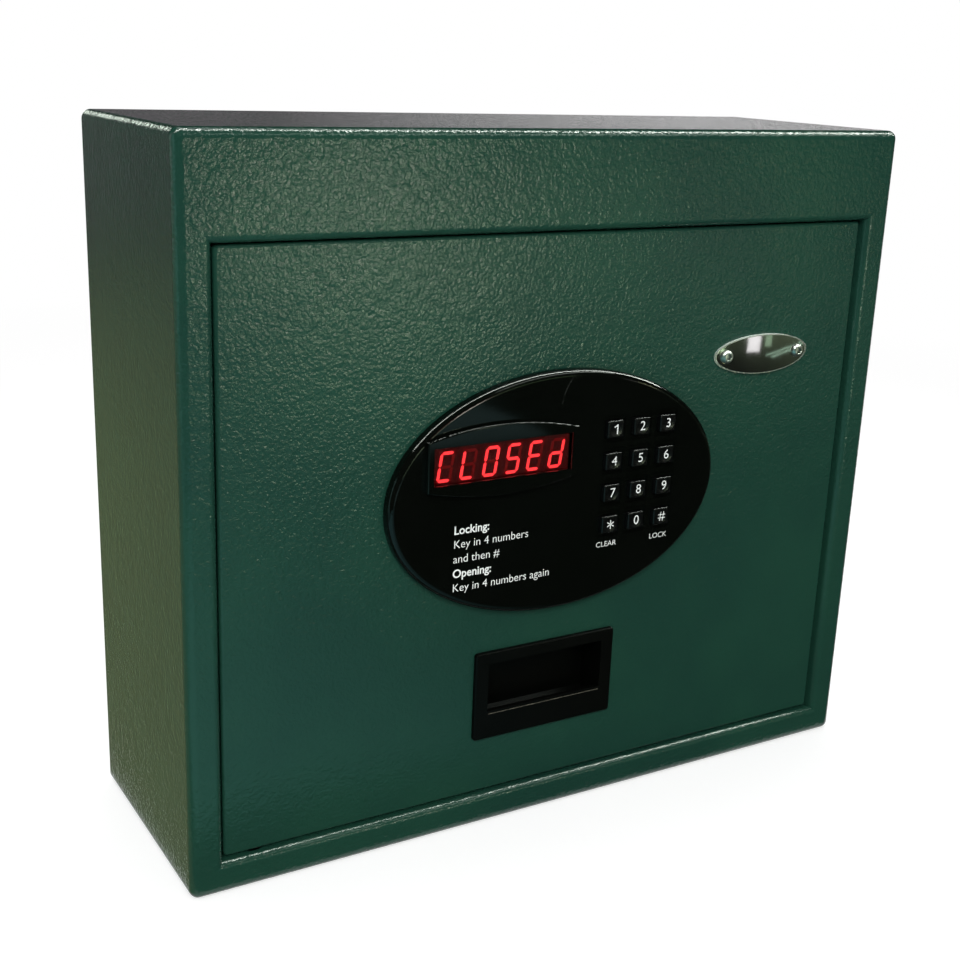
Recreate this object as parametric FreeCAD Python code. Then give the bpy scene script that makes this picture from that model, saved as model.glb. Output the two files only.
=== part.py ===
import FreeCAD, Part
import math
import os

# In-wall safe: a folded steel cabinet, a left-hung door on concealed pivots, an oval keypad panel
# with a lit display, a flush pull, a key override behind a chrome plate, and two bolts that a
# small gear motor throws through a rack and pinion.
# All sizes are millimetres. X runs to the right as seen from the front, Y to the back and Z up.
# The origin is the middle of the four wall-bolt holes, on the outer face of the back.

Vector = FreeCAD.Vector
TINY = 1e-4
OVERCUT = 1.0

# Cabinet
CABINET_WIDTH = 356.0
CABINET_HEIGHT = 312.5
CABINET_DEPTH = 115.6
CABINET_SHEET = 2.0
CABINET_BEND = 4.0
SIDE_STILE = 14.0
HEAD_HEIGHT = 41.5
SILL_HEIGHT = 14.5
RIM_DEPTH = 14.0
RIM_BEND = 3.0

# Back panel and its wall-bolt holes
BACK_SHEET = 2.0
BACK_FLANGE = 12.0
BACK_CLEARANCE = 0.1
WALL_BOLT_SPREAD = 220.0
WALL_BOLT_RISE = 180.0
WALL_BOLT_HOLE = 9.0

# Floor mat
MAT_THICKNESS = 3.0
MAT_MARGIN = 2.0

# Door pan, folded from sheet with an inward lip all round its back
DOOR_GAP = 1.5
DOOR_END_GAP = 0.7
DOOR_RECESS = 3.6
DOOR_DEPTH = 28.0
DOOR_SHEET = 2.0
DOOR_BEND = 1.5
DOOR_CORNER = 2.0
DOOR_LIP = 10.0

# Concealed pivots
PIVOT_INSET = 14.0
PIVOT_SETBACK = 6.5
PIN_DIAMETER = 5.0
PIN_FIT = 0.05
PIN_RUNNING_FIT = 0.08
PIN_HEAD_DIAMETER = 8.0
PIN_HEAD = 2.0
PIN_CHAMFER = 0.6
HINGE_BLOCK_WIDTH = 20.0
HINGE_BLOCK_HEIGHT = 8.0
HINGE_BLOCK_CORNER = 1.5
HINGE_BLOCK_SETBACK = 1.6
BUSH_DIAMETER = 7.0
BUSH_LENGTH = 7.0
BUSH_COLLAR_DIAMETER = 8.6
BUSH_COLLAR = 1.5
WASHER_DIAMETER = 12.0
WASHER_PLAY = 0.05

# Oval control panel, placed from the middle of the door
PANEL_X = -5.5
PANEL_LIFT = 13.85
PANEL_WIDTH = 171.0
PANEL_HEIGHT = 110.0
PANEL_RISE = 5.0
PANEL_WALL = 2.0
PANEL_ROUNDING = 2.6
PANEL_STUD_SPREAD = 152.0
PANEL_STUD_RISE = 92.0
PANEL_STUD_DIAMETER = 4.0
PANEL_STUD_LENGTH = 5.3
PANEL_NUT_FLATS = 7.0
PANEL_NUT_THICKNESS = 3.2
STUD_HOLE_CLEARANCE = 0.3

# Display: a raised visor with arched top and bottom round a flat window, placed from the panel
DISPLAY_SHIFT = -31.7
DISPLAY_LIFT = 19.7
VISOR_WIDTH = 74.5
VISOR_SIDE = 22.0
VISOR_CROWN = 4.8
VISOR_RISE = 3.0
VISOR_WALL = 1.6
VISOR_EDGE = 0.6
WINDOW_WIDTH = 69.0
WINDOW_HEIGHT = 16.5
WINDOW_THICKNESS = 2.2
WINDOW_FLANGE = 0.8
WINDOW_RECESS = 0.4
WINDOW_FIT = 0.1
DIGIT_BLOCK_WIDTH = 67.0
DIGIT_BLOCK_HEIGHT = 18.0
DIGIT_BLOCK_GAP = 0.1

# Keypad: three columns and four rows, each key in its own shallow well, placed from the panel
KEYPAD_SHIFT = 40.8
KEYPAD_LIFT = 4.3
KEY_COLUMNS = 3
KEY_ROWS = 4
KEY_PITCH_X = 14.5
KEY_PITCH_Z = 14.85
KEY_WIDTH = 8.7
KEY_HEIGHT = 8.0
KEY_RISE = 1.8
KEY_GAP = 0.3
KEY_EDGE = 0.6
KEY_CORNER = 0.9
KEY_DISH_RADIUS = 22.0
KEY_DISH_DEPTH = 0.25
KEY_FLANGE = 0.7
KEY_FLANGE_THICKNESS = 1.0
KEY_STEM_DIAMETER = 3.0
KEY_TRAVEL = 0.8
KEY_END_GAP = 0.2
WELL_WIDTH = 12.2
WELL_HEIGHT = 12.4
WELL_DEPTH = 0.7
WELL_CORNER = 1.0

# Keypad circuit board with its switches, on bosses of the panel
BOARD_SETBACK = 4.4
BOARD_THICKNESS = 1.6
BOARD_MARGIN = 3.0
BOSS_DIAMETER = 4.0
BOSS_SCREW_DIAMETER = 2.0
BOSS_SCREW_LENGTH = 6.0
BOSS_SCREW_HEAD = 4.0
BOSS_SCREW_RISE = 1.4
SWITCH_SIZE = 6.0
SWITCH_HEIGHT = 2.5
PLUNGER_HEIGHT = 0.6
CUTOUT_MARGIN = 1.2
CUTOUT_CORNER = 3.0

# Flush pull
PULL_X = -6.7
PULL_UP = 63.5
PULL_WIDTH = 75.0
PULL_HEIGHT = 42.6
PULL_RISE = 2.0
PULL_CORNER = 1.6
PULL_EDGE = 0.8
PULL_MOUTH_WIDTH = 61.4
PULL_MOUTH_HEIGHT = 23.4
PULL_MOUTH_TOP = 5.6
PULL_POCKET_DEPTH = 15.4
PULL_POCKET_DROP = 9.4
PULL_POCKET_SLOPE = 2.2
PULL_WALL = 1.6
PULL_LIP_THICKNESS = 2.6
PULL_STUD_DIAMETER = 2.5
PULL_STUD_LENGTH = 6.5
PULL_NUT_FLATS = 5.0
PULL_NUT_THICKNESS = 2.5

# Key override: chrome cover plate, barrel, plug and cam, placed above the upper bolt
LOCK_LIFT = 25.0
COVER_WIDTH = 56.7
COVER_HEIGHT = 18.5
COVER_THICKNESS = 2.2
COVER_DOME_RADIUS = 230.0
COVER_SCREW_SPREAD = 43.2
COVER_SCREW_DIAMETER = 3.0
COVER_SCREW_HEAD = 6.2
COVER_SCREW_RISE = 1.9
COVER_SCREW_SEAT = 0.5
BARREL_DIAMETER = 16.0
BARREL_NECK_DIAMETER = 14.0
BARREL_LENGTH = 19.8
BARREL_RECESS = 0.2
PLUG_DIAMETER = 10.0
PLUG_FIT = 0.08
PLUG_TAIL = 6.0
KEYWAY_WIDTH = 2.0
KEYWAY_HEIGHT = 7.5
KEYWAY_DEPTH = 12.0
LOCK_BRACKET_SHEET = 1.6
LOCK_BRACKET_DEPTH = 13.6
LOCK_BRACKET_WIDTH = 24.0
LOCK_BRACKET_HEIGHT = 18.0
LOCK_FOOT = 14.0
LOCK_NUT_FLATS = 19.0
LOCK_NUT_THICKNESS = 3.0
CAM_THICKNESS = 2.0
CAM_WIDTH = 8.0
CAM_HUB_DIAMETER = 12.0
CAM_REACH = 18.0
CAM_GAP = 0.3
CAM_TAB_CLEARANCE = 0.5
CAM_TAB_PLAY = 0.2
CAM_SCREW_HEAD = 8.0
CAM_SCREW_HEIGHT = 1.6
CAM_SCREW_DIAMETER = 3.0
CAM_SCREW_LENGTH = 8.0

# Bolts and their carriage, placed from the door's right edge
BOLT_DIAMETER = 12.0
BOLT_THROW = 11.5
BOLT_RIM_GAP = 1.0
BOLT_SPACING = 85.0
BOLT_DROP = 0.25
BOLT_CHAMFER = 1.0
BOLT_REVEAL = 0.3
BOLT_FIT = 0.15
BOLT_TAIL_DIAMETER = 8.0
BOLT_RIVET_HEAD = 11.0
BOLT_RIVET_THICKNESS = 1.8
GUIDE_WALL = 1.4
GUIDE_FLANGE = 0.9
GUIDE_FLANGE_THICKNESS = 1.2
CARRIAGE_SHEET = 2.0
CARRIAGE_STANDOFF = 3.4
CARRIAGE_INSET = 25.5
CARRIAGE_WIDTH = 50.0
CARRIAGE_EAR = 18.0
CARRIAGE_EAR_MARGIN = 0.6
CARRIAGE_CORNER = 3.0
CAM_TAB_HEIGHT = 12.0
STUD_LEFT_INSET = 19.0
STUD_RIGHT_INSET = 9.0
STUD_INSET = 3.0
STUD_DIAMETER = 5.0
STUD_COLLAR = 9.0
STUD_FIT = 0.15
STUD_THREAD_DIAMETER = 4.0
STUD_PLAY = 0.1
GUIDE_NUT_DIAMETER = 9.0
GUIDE_NUT_NECK = 7.0
GUIDE_NUT_THICKNESS = 2.8

# Gear motor, pinion and rack
GEAR_MODULE = 0.7
PINION_TEETH = 18
FLANK_POINTS = 4
PRESSURE_ANGLE = 20.0
GEAR_BACKLASH = 0.16
GEAR_CENTRE_PLAY = 0.06
PINION_FACE = 6.0
RACK_TEETH = 12
RACK_FACE = 6.4
RACK_WEB = 2.0
RACK_DROP = 4.2
MOTOR_INSET = 29.0
MOTOR_WIDTH = 12.0
MOTOR_DEPTH = 10.0
GEARBOX_HEIGHT = 9.0
MOTOR_CAN_HEIGHT = 15.0
SHAFT_DIAMETER = 3.0
SHAFT_BORE_DEPTH = 4.0
MOTOR_BRACKET_SHEET = 1.5
MOTOR_BRACKET_WIDTH = 16.0
MOTOR_BRACKET_FOOT = 15.0
MOTOR_SCREW_SPREAD = 9.0
MOTOR_SCREW_DIAMETER = 1.6
MOTOR_SCREW_LENGTH = 3.2
MOTOR_SCREW_HEAD = 2.8
MOTOR_SCREW_RISE = 1.0
WINDOW_CLEARANCE = 1.0
WINDOW_BELOW = 20.0

# Control board on spacers, above the keypad board
CONTROL_BOARD_INSET = 72.5
CONTROL_BOARD_WIDTH = 90.0
CONTROL_BOARD_HEIGHT = 54.0
SPACER_HEIGHT = 5.0
SPACER_DIAMETER = 6.0
SPACER_INSET = 5.0
CHIP_WIDTH = 18.0
CHIP_HEIGHT = 7.5
CHIP_THICKNESS = 3.2
RELAY_WIDTH = 15.5
RELAY_HEIGHT = 19.0
RELAY_THICKNESS = 11.0
CAPACITOR_DIAMETER = 8.0
CAPACITOR_LENGTH = 11.5
HEADER_WIDTH = 20.0
HEADER_HEIGHT = 6.0
HEADER_THICKNESS = 7.0

# Battery box, four cells and a sliding lid
BATTERY_INSET = 55.5
BATTERY_UP = 98.0
CELL_DIAMETER = 14.2
CELL_LENGTH = 49.0
CELL_NUB_DIAMETER = 5.4
CELL_NUB = 1.3
CELL_PITCH = 15.2
CELL_COUNT = 4
CELL_CLEARANCE = 0.3
CONTACT_THICKNESS = 0.4
CONTACT_WIDTH = 9.0
BOX_WALL = 1.5
BOX_FLANGE = 4.0
BOX_FLANGE_THICKNESS = 1.4
LID_THICKNESS = 1.6
LID_PLAY = 0.2
LID_RAIL_WALL = 1.6
LID_RAIL_LIP = 1.6
LID_RAIL_THICKNESS = 1.2
LID_GRIP_COUNT = 5
LID_GRIP_PITCH = 3.0
LID_GRIP_DEPTH = 0.5
LID_GRIP_WIDTH = 24.0

# Inner cover
INNER_COVER_SHEET = 1.0
INNER_COVER_MARGIN = 3.5
INNER_COVER_CORNER = 4.0
INNER_COVER_FIT = 0.2
COVER_FIXING_DIAMETER = 3.0
COVER_FIXING_HEAD = 5.6
COVER_FIXING_RISE = 1.8
COVER_FIXING_LENGTH = 5.0

# The profile of a pan head, as shares of its diameter and rise
PAN_SIDE_RISE = 0.4
PAN_SHOULDER_RADIUS = 0.36
PAN_SHOULDER_RISE = 0.85
PAN_CROWN_RADIUS = 0.2

# Planes and axes worked out from the sizes above
FRONT = -CABINET_DEPTH
BASE = -CABINET_HEIGHT / 2
TOP = CABINET_HEIGHT / 2
OPENING_WIDTH = CABINET_WIDTH - 2 * SIDE_STILE
OPENING_HEIGHT = CABINET_HEIGHT - SILL_HEIGHT - HEAD_HEIGHT
DOOR_FACE = FRONT + DOOR_RECESS
DOOR_INSIDE = DOOR_FACE + DOOR_SHEET
DOOR_BACK = DOOR_FACE + DOOR_DEPTH
DOOR_WIDTH = OPENING_WIDTH - 2 * DOOR_GAP
DOOR_LEFT = -DOOR_WIDTH / 2
DOOR_RIGHT = DOOR_WIDTH / 2
OPENING_BOTTOM = BASE + SILL_HEIGHT
OPENING_TOP = OPENING_BOTTOM + OPENING_HEIGHT
DOOR_BOTTOM = OPENING_BOTTOM + DOOR_END_GAP
DOOR_TOP = OPENING_TOP - DOOR_END_GAP
PIVOT_X = DOOR_LEFT + PIVOT_INSET
PIVOT_Y = DOOR_FACE + PIVOT_SETBACK
DOOR_MIDDLE = SILL_HEIGHT + OPENING_HEIGHT / 2
PANEL_UP = DOOR_MIDDLE + PANEL_LIFT
DISPLAY_X = PANEL_X + DISPLAY_SHIFT
DISPLAY_UP = PANEL_UP + DISPLAY_LIFT
KEYPAD_X = PANEL_X + KEYPAD_SHIFT
KEYPAD_UP = PANEL_UP + KEYPAD_LIFT
PANEL_FACE = DOOR_FACE - PANEL_RISE
PANEL_INSIDE = PANEL_FACE + PANEL_WALL
VISOR_FACE = PANEL_FACE - VISOR_RISE
WINDOW_FACE = VISOR_FACE + WINDOW_RECESS
BOARD_FRONT = DOOR_FACE + BOARD_SETBACK
BOLT_UP = DOOR_MIDDLE - BOLT_DROP
BOLT_Y = FRONT + RIM_DEPTH + BOLT_RIM_GAP + BOLT_DIAMETER / 2
CARRIAGE_RIGHT = DOOR_RIGHT - CARRIAGE_INSET
CARRIAGE_LEFT = CARRIAGE_RIGHT - CARRIAGE_WIDTH
STUD_LEFT_X = CARRIAGE_LEFT + STUD_LEFT_INSET
STUD_RIGHT_X = CARRIAGE_RIGHT - STUD_RIGHT_INSET
LOCK_X = CARRIAGE_LEFT + CARRIAGE_SHEET + CAM_REACH + CAM_TAB_PLAY
LOCK_UP = BOLT_UP + BOLT_SPACING / 2 + LOCK_LIFT
MOTOR_X = CARRIAGE_LEFT + MOTOR_INSET
RACK_UP = BOLT_UP - RACK_DROP
WEB_FRONT = DOOR_INSIDE + CARRIAGE_STANDOFF
WEB_BACK = WEB_FRONT + CARRIAGE_SHEET
PITCH_RADIUS = GEAR_MODULE * PINION_TEETH / 2
ADDENDUM = GEAR_MODULE
DEDENDUM = 1.25 * GEAR_MODULE
RACK_PITCH_Y = WEB_BACK + RACK_WEB + DEDENDUM
PINION_Y = RACK_PITCH_Y + PITCH_RADIUS + GEAR_CENTRE_PLAY
RAIL_FRONT = DOOR_BACK + INNER_COVER_SHEET + BOX_FLANGE_THICKNESS
BATTERY_X = DOOR_LEFT + BATTERY_INSET
KEYPAD_BOARD_TOP = DISPLAY_UP + DIGIT_BLOCK_HEIGHT / 2 + BOARD_MARGIN
DOOR_FLANGE_INSIDE = SILL_HEIGHT + OPENING_HEIGHT - DOOR_END_GAP - DOOR_SHEET
CONTROL_BOARD_X = DOOR_LEFT + CONTROL_BOARD_INSET
CONTROL_BOARD_UP = (KEYPAD_BOARD_TOP + DOOR_FLANGE_INSIDE) / 2


def up(height):
    """The Z of a point that lies this far above the underside of the cabinet."""
    return BASE + height


def box(x0, x1, y0, y1, z0, z1):
    return Part.makeBox(x1 - x0, y1 - y0, z1 - z0, Vector(x0, y0, z0))


def centred_box(x, z, width, height, y0, y1):
    return box(x - width / 2, x + width / 2, y0, y1, z - height / 2, z + height / 2)


def rod_y(x, z, radius, y0, y1):
    return Part.makeCylinder(radius, y1 - y0, Vector(x, y0, z), Vector(0, 1, 0))


def rod_z(x, y, radius, z0, z1):
    return Part.makeCylinder(radius, z1 - z0, Vector(x, y, z0))


def rod_x(y, z, radius, x0, x1):
    return Part.makeCylinder(radius, x1 - x0, Vector(x0, y, z), Vector(1, 0, 0))


def runs_along_y(edge):
    bounds = edge.BoundBox
    return bounds.XLength < TINY and bounds.ZLength < TINY


def lies_at_y(edge, y):
    bounds = edge.BoundBox
    return abs(bounds.YMin - y) < TINY and abs(bounds.YMax - y) < TINY


def fillet_where(shape, radius, wanted):
    """Round each edge of the shape for which wanted(edge) is true."""
    return shape.makeFillet(radius, [edge for edge in shape.Edges if wanted(edge)])


def plate(x, z, width, height, corner, y0, y1):
    """A slab that faces along Y, with its four corners rounded."""
    slab = centred_box(x, z, width, height, y0, y1)
    return fillet_where(slab, corner, runs_along_y)


def slot_x(x0, x1, z, radius, y0, y1):
    """A round-ended slot along X: x0 and x1 are its two end centres."""
    middle = box(x0, x1, y0, y1, z - radius, z + radius)
    return middle.fuse([rod_y(x0, z, radius, y0, y1), rod_y(x1, z, radius, y0, y1)]).removeSplitter()


def turned(outline, foot, direction):
    """Revolve (radius, height) points, with the height measured from foot along direction."""
    points = [Vector(radius, 0, height) for radius, height in outline]
    points.append(points[0])
    solid = Part.Face(Part.makePolygon(points)).revolve(Vector(0, 0, 0), Vector(0, 0, 1), 360)
    solid.Placement = FreeCAD.Placement(foot, FreeCAD.Rotation(Vector(0, 0, 1), direction))
    return solid


def folded(points, axis_vector):
    """Extrude a closed outline of vectors along axis_vector."""
    loop = list(points)
    loop.append(loop[0])
    return Part.Face(Part.makePolygon(loop)).extrude(axis_vector)


def oval(x, z, width, height, y0, y1):
    ellipse = Part.Ellipse(Vector(0, 0, 0), width / 2, height / 2)
    solid = Part.Face(Part.Wire(ellipse.toShape())).extrude(Vector(0, 0, y1 - y0))
    solid.Placement = FreeCAD.Placement(Vector(x, y1, z), FreeCAD.Rotation(Vector(1, 0, 0), 90))
    return solid


def hex_nut(x, z, flats, bore_radius, y0, y1):
    """A hexagon nut on an axis along Y, with two flats that face left and right."""
    corner = flats / math.sqrt(3)
    points = []
    for index in range(6):
        angle = math.radians(30 + 60 * index)
        points.append(Vector(x + corner * math.cos(angle), y0, z + corner * math.sin(angle)))
    nut = folded(points, Vector(0, y1 - y0, 0))
    return nut.cut(rod_y(x, z, bore_radius, y0 - OVERCUT, y1 + OVERCUT))


def pan_screw(foot, direction, shank, length, head, rise):
    """A screw whose head starts at foot and rises along direction, with its shank behind."""
    outline = [
        (0, -length),
        (shank / 2, -length),
        (shank / 2, 0),
        (head / 2, 0),
        (head / 2, rise * PAN_SIDE_RISE),
        (head * PAN_SHOULDER_RADIUS, rise * PAN_SHOULDER_RISE),
        (head * PAN_CROWN_RADIUS, rise),
        (0, rise),
    ]
    return turned(outline, foot, direction)


# Cabinet


def cabinet_shell():
    half = CABINET_WIDTH / 2
    outer = box(-half, half, FRONT, 0, BASE, TOP)
    outer = fillet_where(
        outer, CABINET_BEND, lambda edge: runs_along_y(edge) or lies_at_y(edge, FRONT))
    inside = FRONT + CABINET_SHEET
    inner = box(
        -half + CABINET_SHEET, half - CABINET_SHEET, inside, OVERCUT,
        BASE + CABINET_SHEET, TOP - CABINET_SHEET)
    inner = fillet_where(
        inner, CABINET_BEND - CABINET_SHEET,
        lambda edge: runs_along_y(edge) or lies_at_y(edge, inside))
    rim = box(
        -OPENING_WIDTH / 2 - CABINET_SHEET, OPENING_WIDTH / 2 + CABINET_SHEET,
        FRONT, FRONT + RIM_DEPTH,
        OPENING_BOTTOM - CABINET_SHEET, OPENING_TOP + CABINET_SHEET)
    mouth = box(
        -OPENING_WIDTH / 2, OPENING_WIDTH / 2, FRONT - OVERCUT, FRONT + RIM_DEPTH + OVERCUT,
        OPENING_BOTTOM, OPENING_TOP)
    shell = outer.cut(inner).fuse(rim).cut(mouth).removeSplitter()

    def on_mouth(edge):
        bounds = edge.BoundBox
        inside_mouth = bounds.XMax < OPENING_WIDTH / 2 + TINY and bounds.XMin > -OPENING_WIDTH / 2 - TINY
        return lies_at_y(edge, FRONT) and inside_mouth and bounds.ZMax < OPENING_TOP + TINY

    def behind_rim(edge):
        bounds = edge.BoundBox
        reach = OPENING_WIDTH / 2 + CABINET_SHEET + TINY
        return lies_at_y(edge, inside) and bounds.XMax < reach and bounds.XMin > -reach

    shell = fillet_where(shell, RIM_BEND, on_mouth)
    shell = fillet_where(shell, RIM_BEND - CABINET_SHEET, behind_rim)
    hinge_bore = rod_z(PIVOT_X, PIVOT_Y, PIN_DIAMETER / 2 + PIN_FIT, BASE + CABINET_SHEET, TOP - CABINET_SHEET)
    return shell.cut(hinge_bore)


def back_panel():
    width = CABINET_WIDTH - 2 * CABINET_SHEET - 2 * BACK_CLEARANCE
    height = CABINET_HEIGHT - 2 * CABINET_SHEET - 2 * BACK_CLEARANCE
    corner = CABINET_BEND - CABINET_SHEET
    pan = plate(0, 0, width, height, corner, -BACK_FLANGE, 0)
    hollow = centred_box(
        0, 0, width - 2 * BACK_SHEET, height - 2 * BACK_SHEET, -BACK_FLANGE - OVERCUT, -BACK_SHEET)
    pan = pan.cut(hollow)
    for side in (-1, 1):
        for level in (-1, 1):
            x = side * WALL_BOLT_SPREAD / 2
            z = level * WALL_BOLT_RISE / 2
            pan = pan.cut(rod_y(x, z, WALL_BOLT_HOLE / 2, -BACK_SHEET - OVERCUT, OVERCUT))
    return pan


def floor_mat():
    half = CABINET_WIDTH / 2 - CABINET_SHEET - CABINET_BEND / 2 - MAT_MARGIN
    floor = BASE + CABINET_SHEET
    return box(
        -half, half, FRONT + RIM_DEPTH + MAT_MARGIN, -BACK_FLANGE - MAT_MARGIN,
        floor, floor + MAT_THICKNESS)


# Concealed pivots: a block welded behind the rim, a pin in it and a bush in the door


def hinge_block(z0, z1):
    y0 = FRONT + CABINET_SHEET + HINGE_BLOCK_SETBACK
    half = HINGE_BLOCK_WIDTH / 2
    block = box(PIVOT_X - half, PIVOT_X + half, y0, FRONT + RIM_DEPTH, z0, z1)

    def stands_upright(edge):
        return edge.BoundBox.XLength < TINY and edge.BoundBox.YLength < TINY

    block = fillet_where(block, HINGE_BLOCK_CORNER, stands_upright)
    return block.cut(rod_z(PIVOT_X, PIVOT_Y, PIN_DIAMETER / 2 + PIN_FIT, z0 - OVERCUT, z1 + OVERCUT))


def hinge_block_lower():
    top = OPENING_BOTTOM - CABINET_SHEET
    return hinge_block(top - HINGE_BLOCK_HEIGHT, top)


def hinge_block_upper():
    bottom = OPENING_TOP + CABINET_SHEET
    return hinge_block(bottom, bottom + HINGE_BLOCK_HEIGHT)


def pin_outline(length, head_diameter, head):
    radius = PIN_DIAMETER / 2
    return [
        (0, 0),
        (radius - PIN_CHAMFER, 0),
        (radius, PIN_CHAMFER),
        (radius, length),
        (head_diameter / 2, length),
        (head_diameter / 2, length + head),
        (0, length + head),
    ]


def hinge_pin_lower():
    """A plain pin from the underside of the lower block up into the door's bush."""
    foot = OPENING_BOTTOM - CABINET_SHEET - HINGE_BLOCK_HEIGHT
    length = DOOR_BOTTOM + BUSH_LENGTH - foot
    radius = PIN_DIAMETER / 2
    outline = [
        (0, 0),
        (radius, 0),
        (radius, length - PIN_CHAMFER),
        (radius - PIN_CHAMFER, length),
        (0, length),
    ]
    return turned(outline, Vector(PIVOT_X, PIVOT_Y, foot), Vector(0, 0, 1))


def hinge_pin_upper():
    """A headed pin dropped through the upper block and rim into the door's bush."""
    foot = DOOR_TOP - BUSH_LENGTH
    seat = OPENING_TOP + CABINET_SHEET + HINGE_BLOCK_HEIGHT
    outline = pin_outline(seat - foot, PIN_HEAD_DIAMETER, PIN_HEAD)
    return turned(outline, Vector(PIVOT_X, PIVOT_Y, foot), Vector(0, 0, 1))


def hinge_washer():
    bore = PIN_DIAMETER / 2 + PIN_RUNNING_FIT
    radius = WASHER_DIAMETER / 2
    height = DOOR_END_GAP - WASHER_PLAY
    outline = [(bore, 0), (radius, 0), (radius, height), (bore, height)]
    return turned(outline, Vector(PIVOT_X, PIVOT_Y, OPENING_BOTTOM), Vector(0, 0, 1))


def hinge_bush(edge_z, inward):
    """A collared bush flush with the door's edge, with its collar on the inside of the flange."""
    bore = PIN_DIAMETER / 2 + PIN_RUNNING_FIT
    radius = BUSH_DIAMETER / 2
    collar = BUSH_COLLAR_DIAMETER / 2
    outline = [
        (bore, 0),
        (radius, 0),
        (radius, DOOR_SHEET),
        (collar, DOOR_SHEET),
        (collar, DOOR_SHEET + BUSH_COLLAR),
        (radius, DOOR_SHEET + BUSH_COLLAR),
        (radius, BUSH_LENGTH),
        (bore, BUSH_LENGTH),
    ]
    return turned(outline, Vector(PIVOT_X, PIVOT_Y, edge_z), Vector(0, 0, inward))


# Door


def key_places():
    """The centre of each key as (column, row, x, z), from the top left."""
    places = []
    for row in range(KEY_ROWS):
        for column in range(KEY_COLUMNS):
            x = KEYPAD_X + (column - (KEY_COLUMNS - 1) / 2) * KEY_PITCH_X
            z = up(KEYPAD_UP) + ((KEY_ROWS - 1) / 2 - row) * KEY_PITCH_Z
            places.append((column, row, x, z))
    return places


def panel_stud_places():
    z = up(PANEL_UP)
    return [
        (PANEL_X - PANEL_STUD_SPREAD / 2, z),
        (PANEL_X + PANEL_STUD_SPREAD / 2, z),
        (PANEL_X, z - PANEL_STUD_RISE / 2),
        (PANEL_X, z + PANEL_STUD_RISE / 2),
    ]


def boss_places():
    """Two bosses below the display and two in the gaps between four keys."""
    below = up(DISPLAY_UP) - VISOR_SIDE / 2 - BOSS_DIAMETER
    inset = DIGIT_BLOCK_WIDTH / 2 - BOSS_DIAMETER / 2
    gap_x = KEY_PITCH_X / 2
    gap_z = KEY_PITCH_Z
    return [
        (DISPLAY_X - inset, below),
        (DISPLAY_X + inset, below),
        (KEYPAD_X - gap_x, up(KEYPAD_UP) + gap_z),
        (KEYPAD_X + gap_x, up(KEYPAD_UP) - gap_z),
    ]


def pull_stud_places():
    offset = (PULL_WIDTH + PULL_MOUTH_WIDTH) / 4 + PULL_WALL / 2
    return [(PULL_X - offset, up(PULL_UP)), (PULL_X + offset, up(PULL_UP))]


def bolt_heights():
    return [up(BOLT_UP) - BOLT_SPACING / 2, up(BOLT_UP) + BOLT_SPACING / 2]


def cover_screw_places():
    return [LOCK_X - COVER_SCREW_SPREAD / 2, LOCK_X + COVER_SCREW_SPREAD / 2]


def inner_cover_screw_places():
    """Eight places on the middle line of the door's lip."""
    x = DOOR_WIDTH / 2 - DOOR_LIP / 2 - DOOR_SHEET / 2
    middle = (DOOR_BOTTOM + DOOR_TOP) / 2
    z = (DOOR_TOP - DOOR_BOTTOM) / 2 - DOOR_LIP / 2 - DOOR_SHEET / 2
    places = []
    for side in (-1, 0, 1):
        for level in (-1, 0, 1):
            if side or level:
                places.append((side * x, middle + level * z))
    return places


def door_cutouts():
    """Openings in the door's face: display, keypad, pull, fixings and lock barrel."""
    y0 = DOOR_FACE - OVERCUT
    y1 = DOOR_INSIDE + OVERCUT
    cuts = []
    boss_z = boss_places()[0][1]
    low = boss_z - BOSS_DIAMETER / 2 - CUTOUT_MARGIN
    high = up(DISPLAY_UP) + DIGIT_BLOCK_HEIGHT / 2 + CUTOUT_MARGIN
    width = DIGIT_BLOCK_WIDTH + 2 * CUTOUT_MARGIN
    cuts.append(plate(DISPLAY_X, (low + high) / 2, width, high - low, CUTOUT_CORNER, y0, y1))
    pad_width = (KEY_COLUMNS - 1) * KEY_PITCH_X + KEY_WIDTH + 2 * KEY_FLANGE + 2 * CUTOUT_MARGIN
    pad_height = (KEY_ROWS - 1) * KEY_PITCH_Z + KEY_HEIGHT + 2 * KEY_FLANGE + 2 * CUTOUT_MARGIN
    cuts.append(plate(KEYPAD_X, up(KEYPAD_UP), pad_width, pad_height, CUTOUT_CORNER, y0, y1))
    cuts.append(pull_body(CUTOUT_MARGIN / 3, y0, y1))
    for x, z in panel_stud_places():
        cuts.append(rod_y(x, z, PANEL_STUD_DIAMETER / 2 + STUD_HOLE_CLEARANCE, y0, y1))
    for x, z in pull_stud_places():
        cuts.append(rod_y(x, z, PULL_STUD_DIAMETER / 2 + STUD_HOLE_CLEARANCE, y0, y1))
    for x in cover_screw_places():
        cuts.append(rod_y(x, up(LOCK_UP), COVER_SCREW_DIAMETER / 2 + STUD_HOLE_CLEARANCE, y0, y1))
    cuts.append(rod_y(LOCK_X, up(LOCK_UP), BARREL_DIAMETER / 2 + STUD_HOLE_CLEARANCE, y0, y1))
    return cuts


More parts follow.
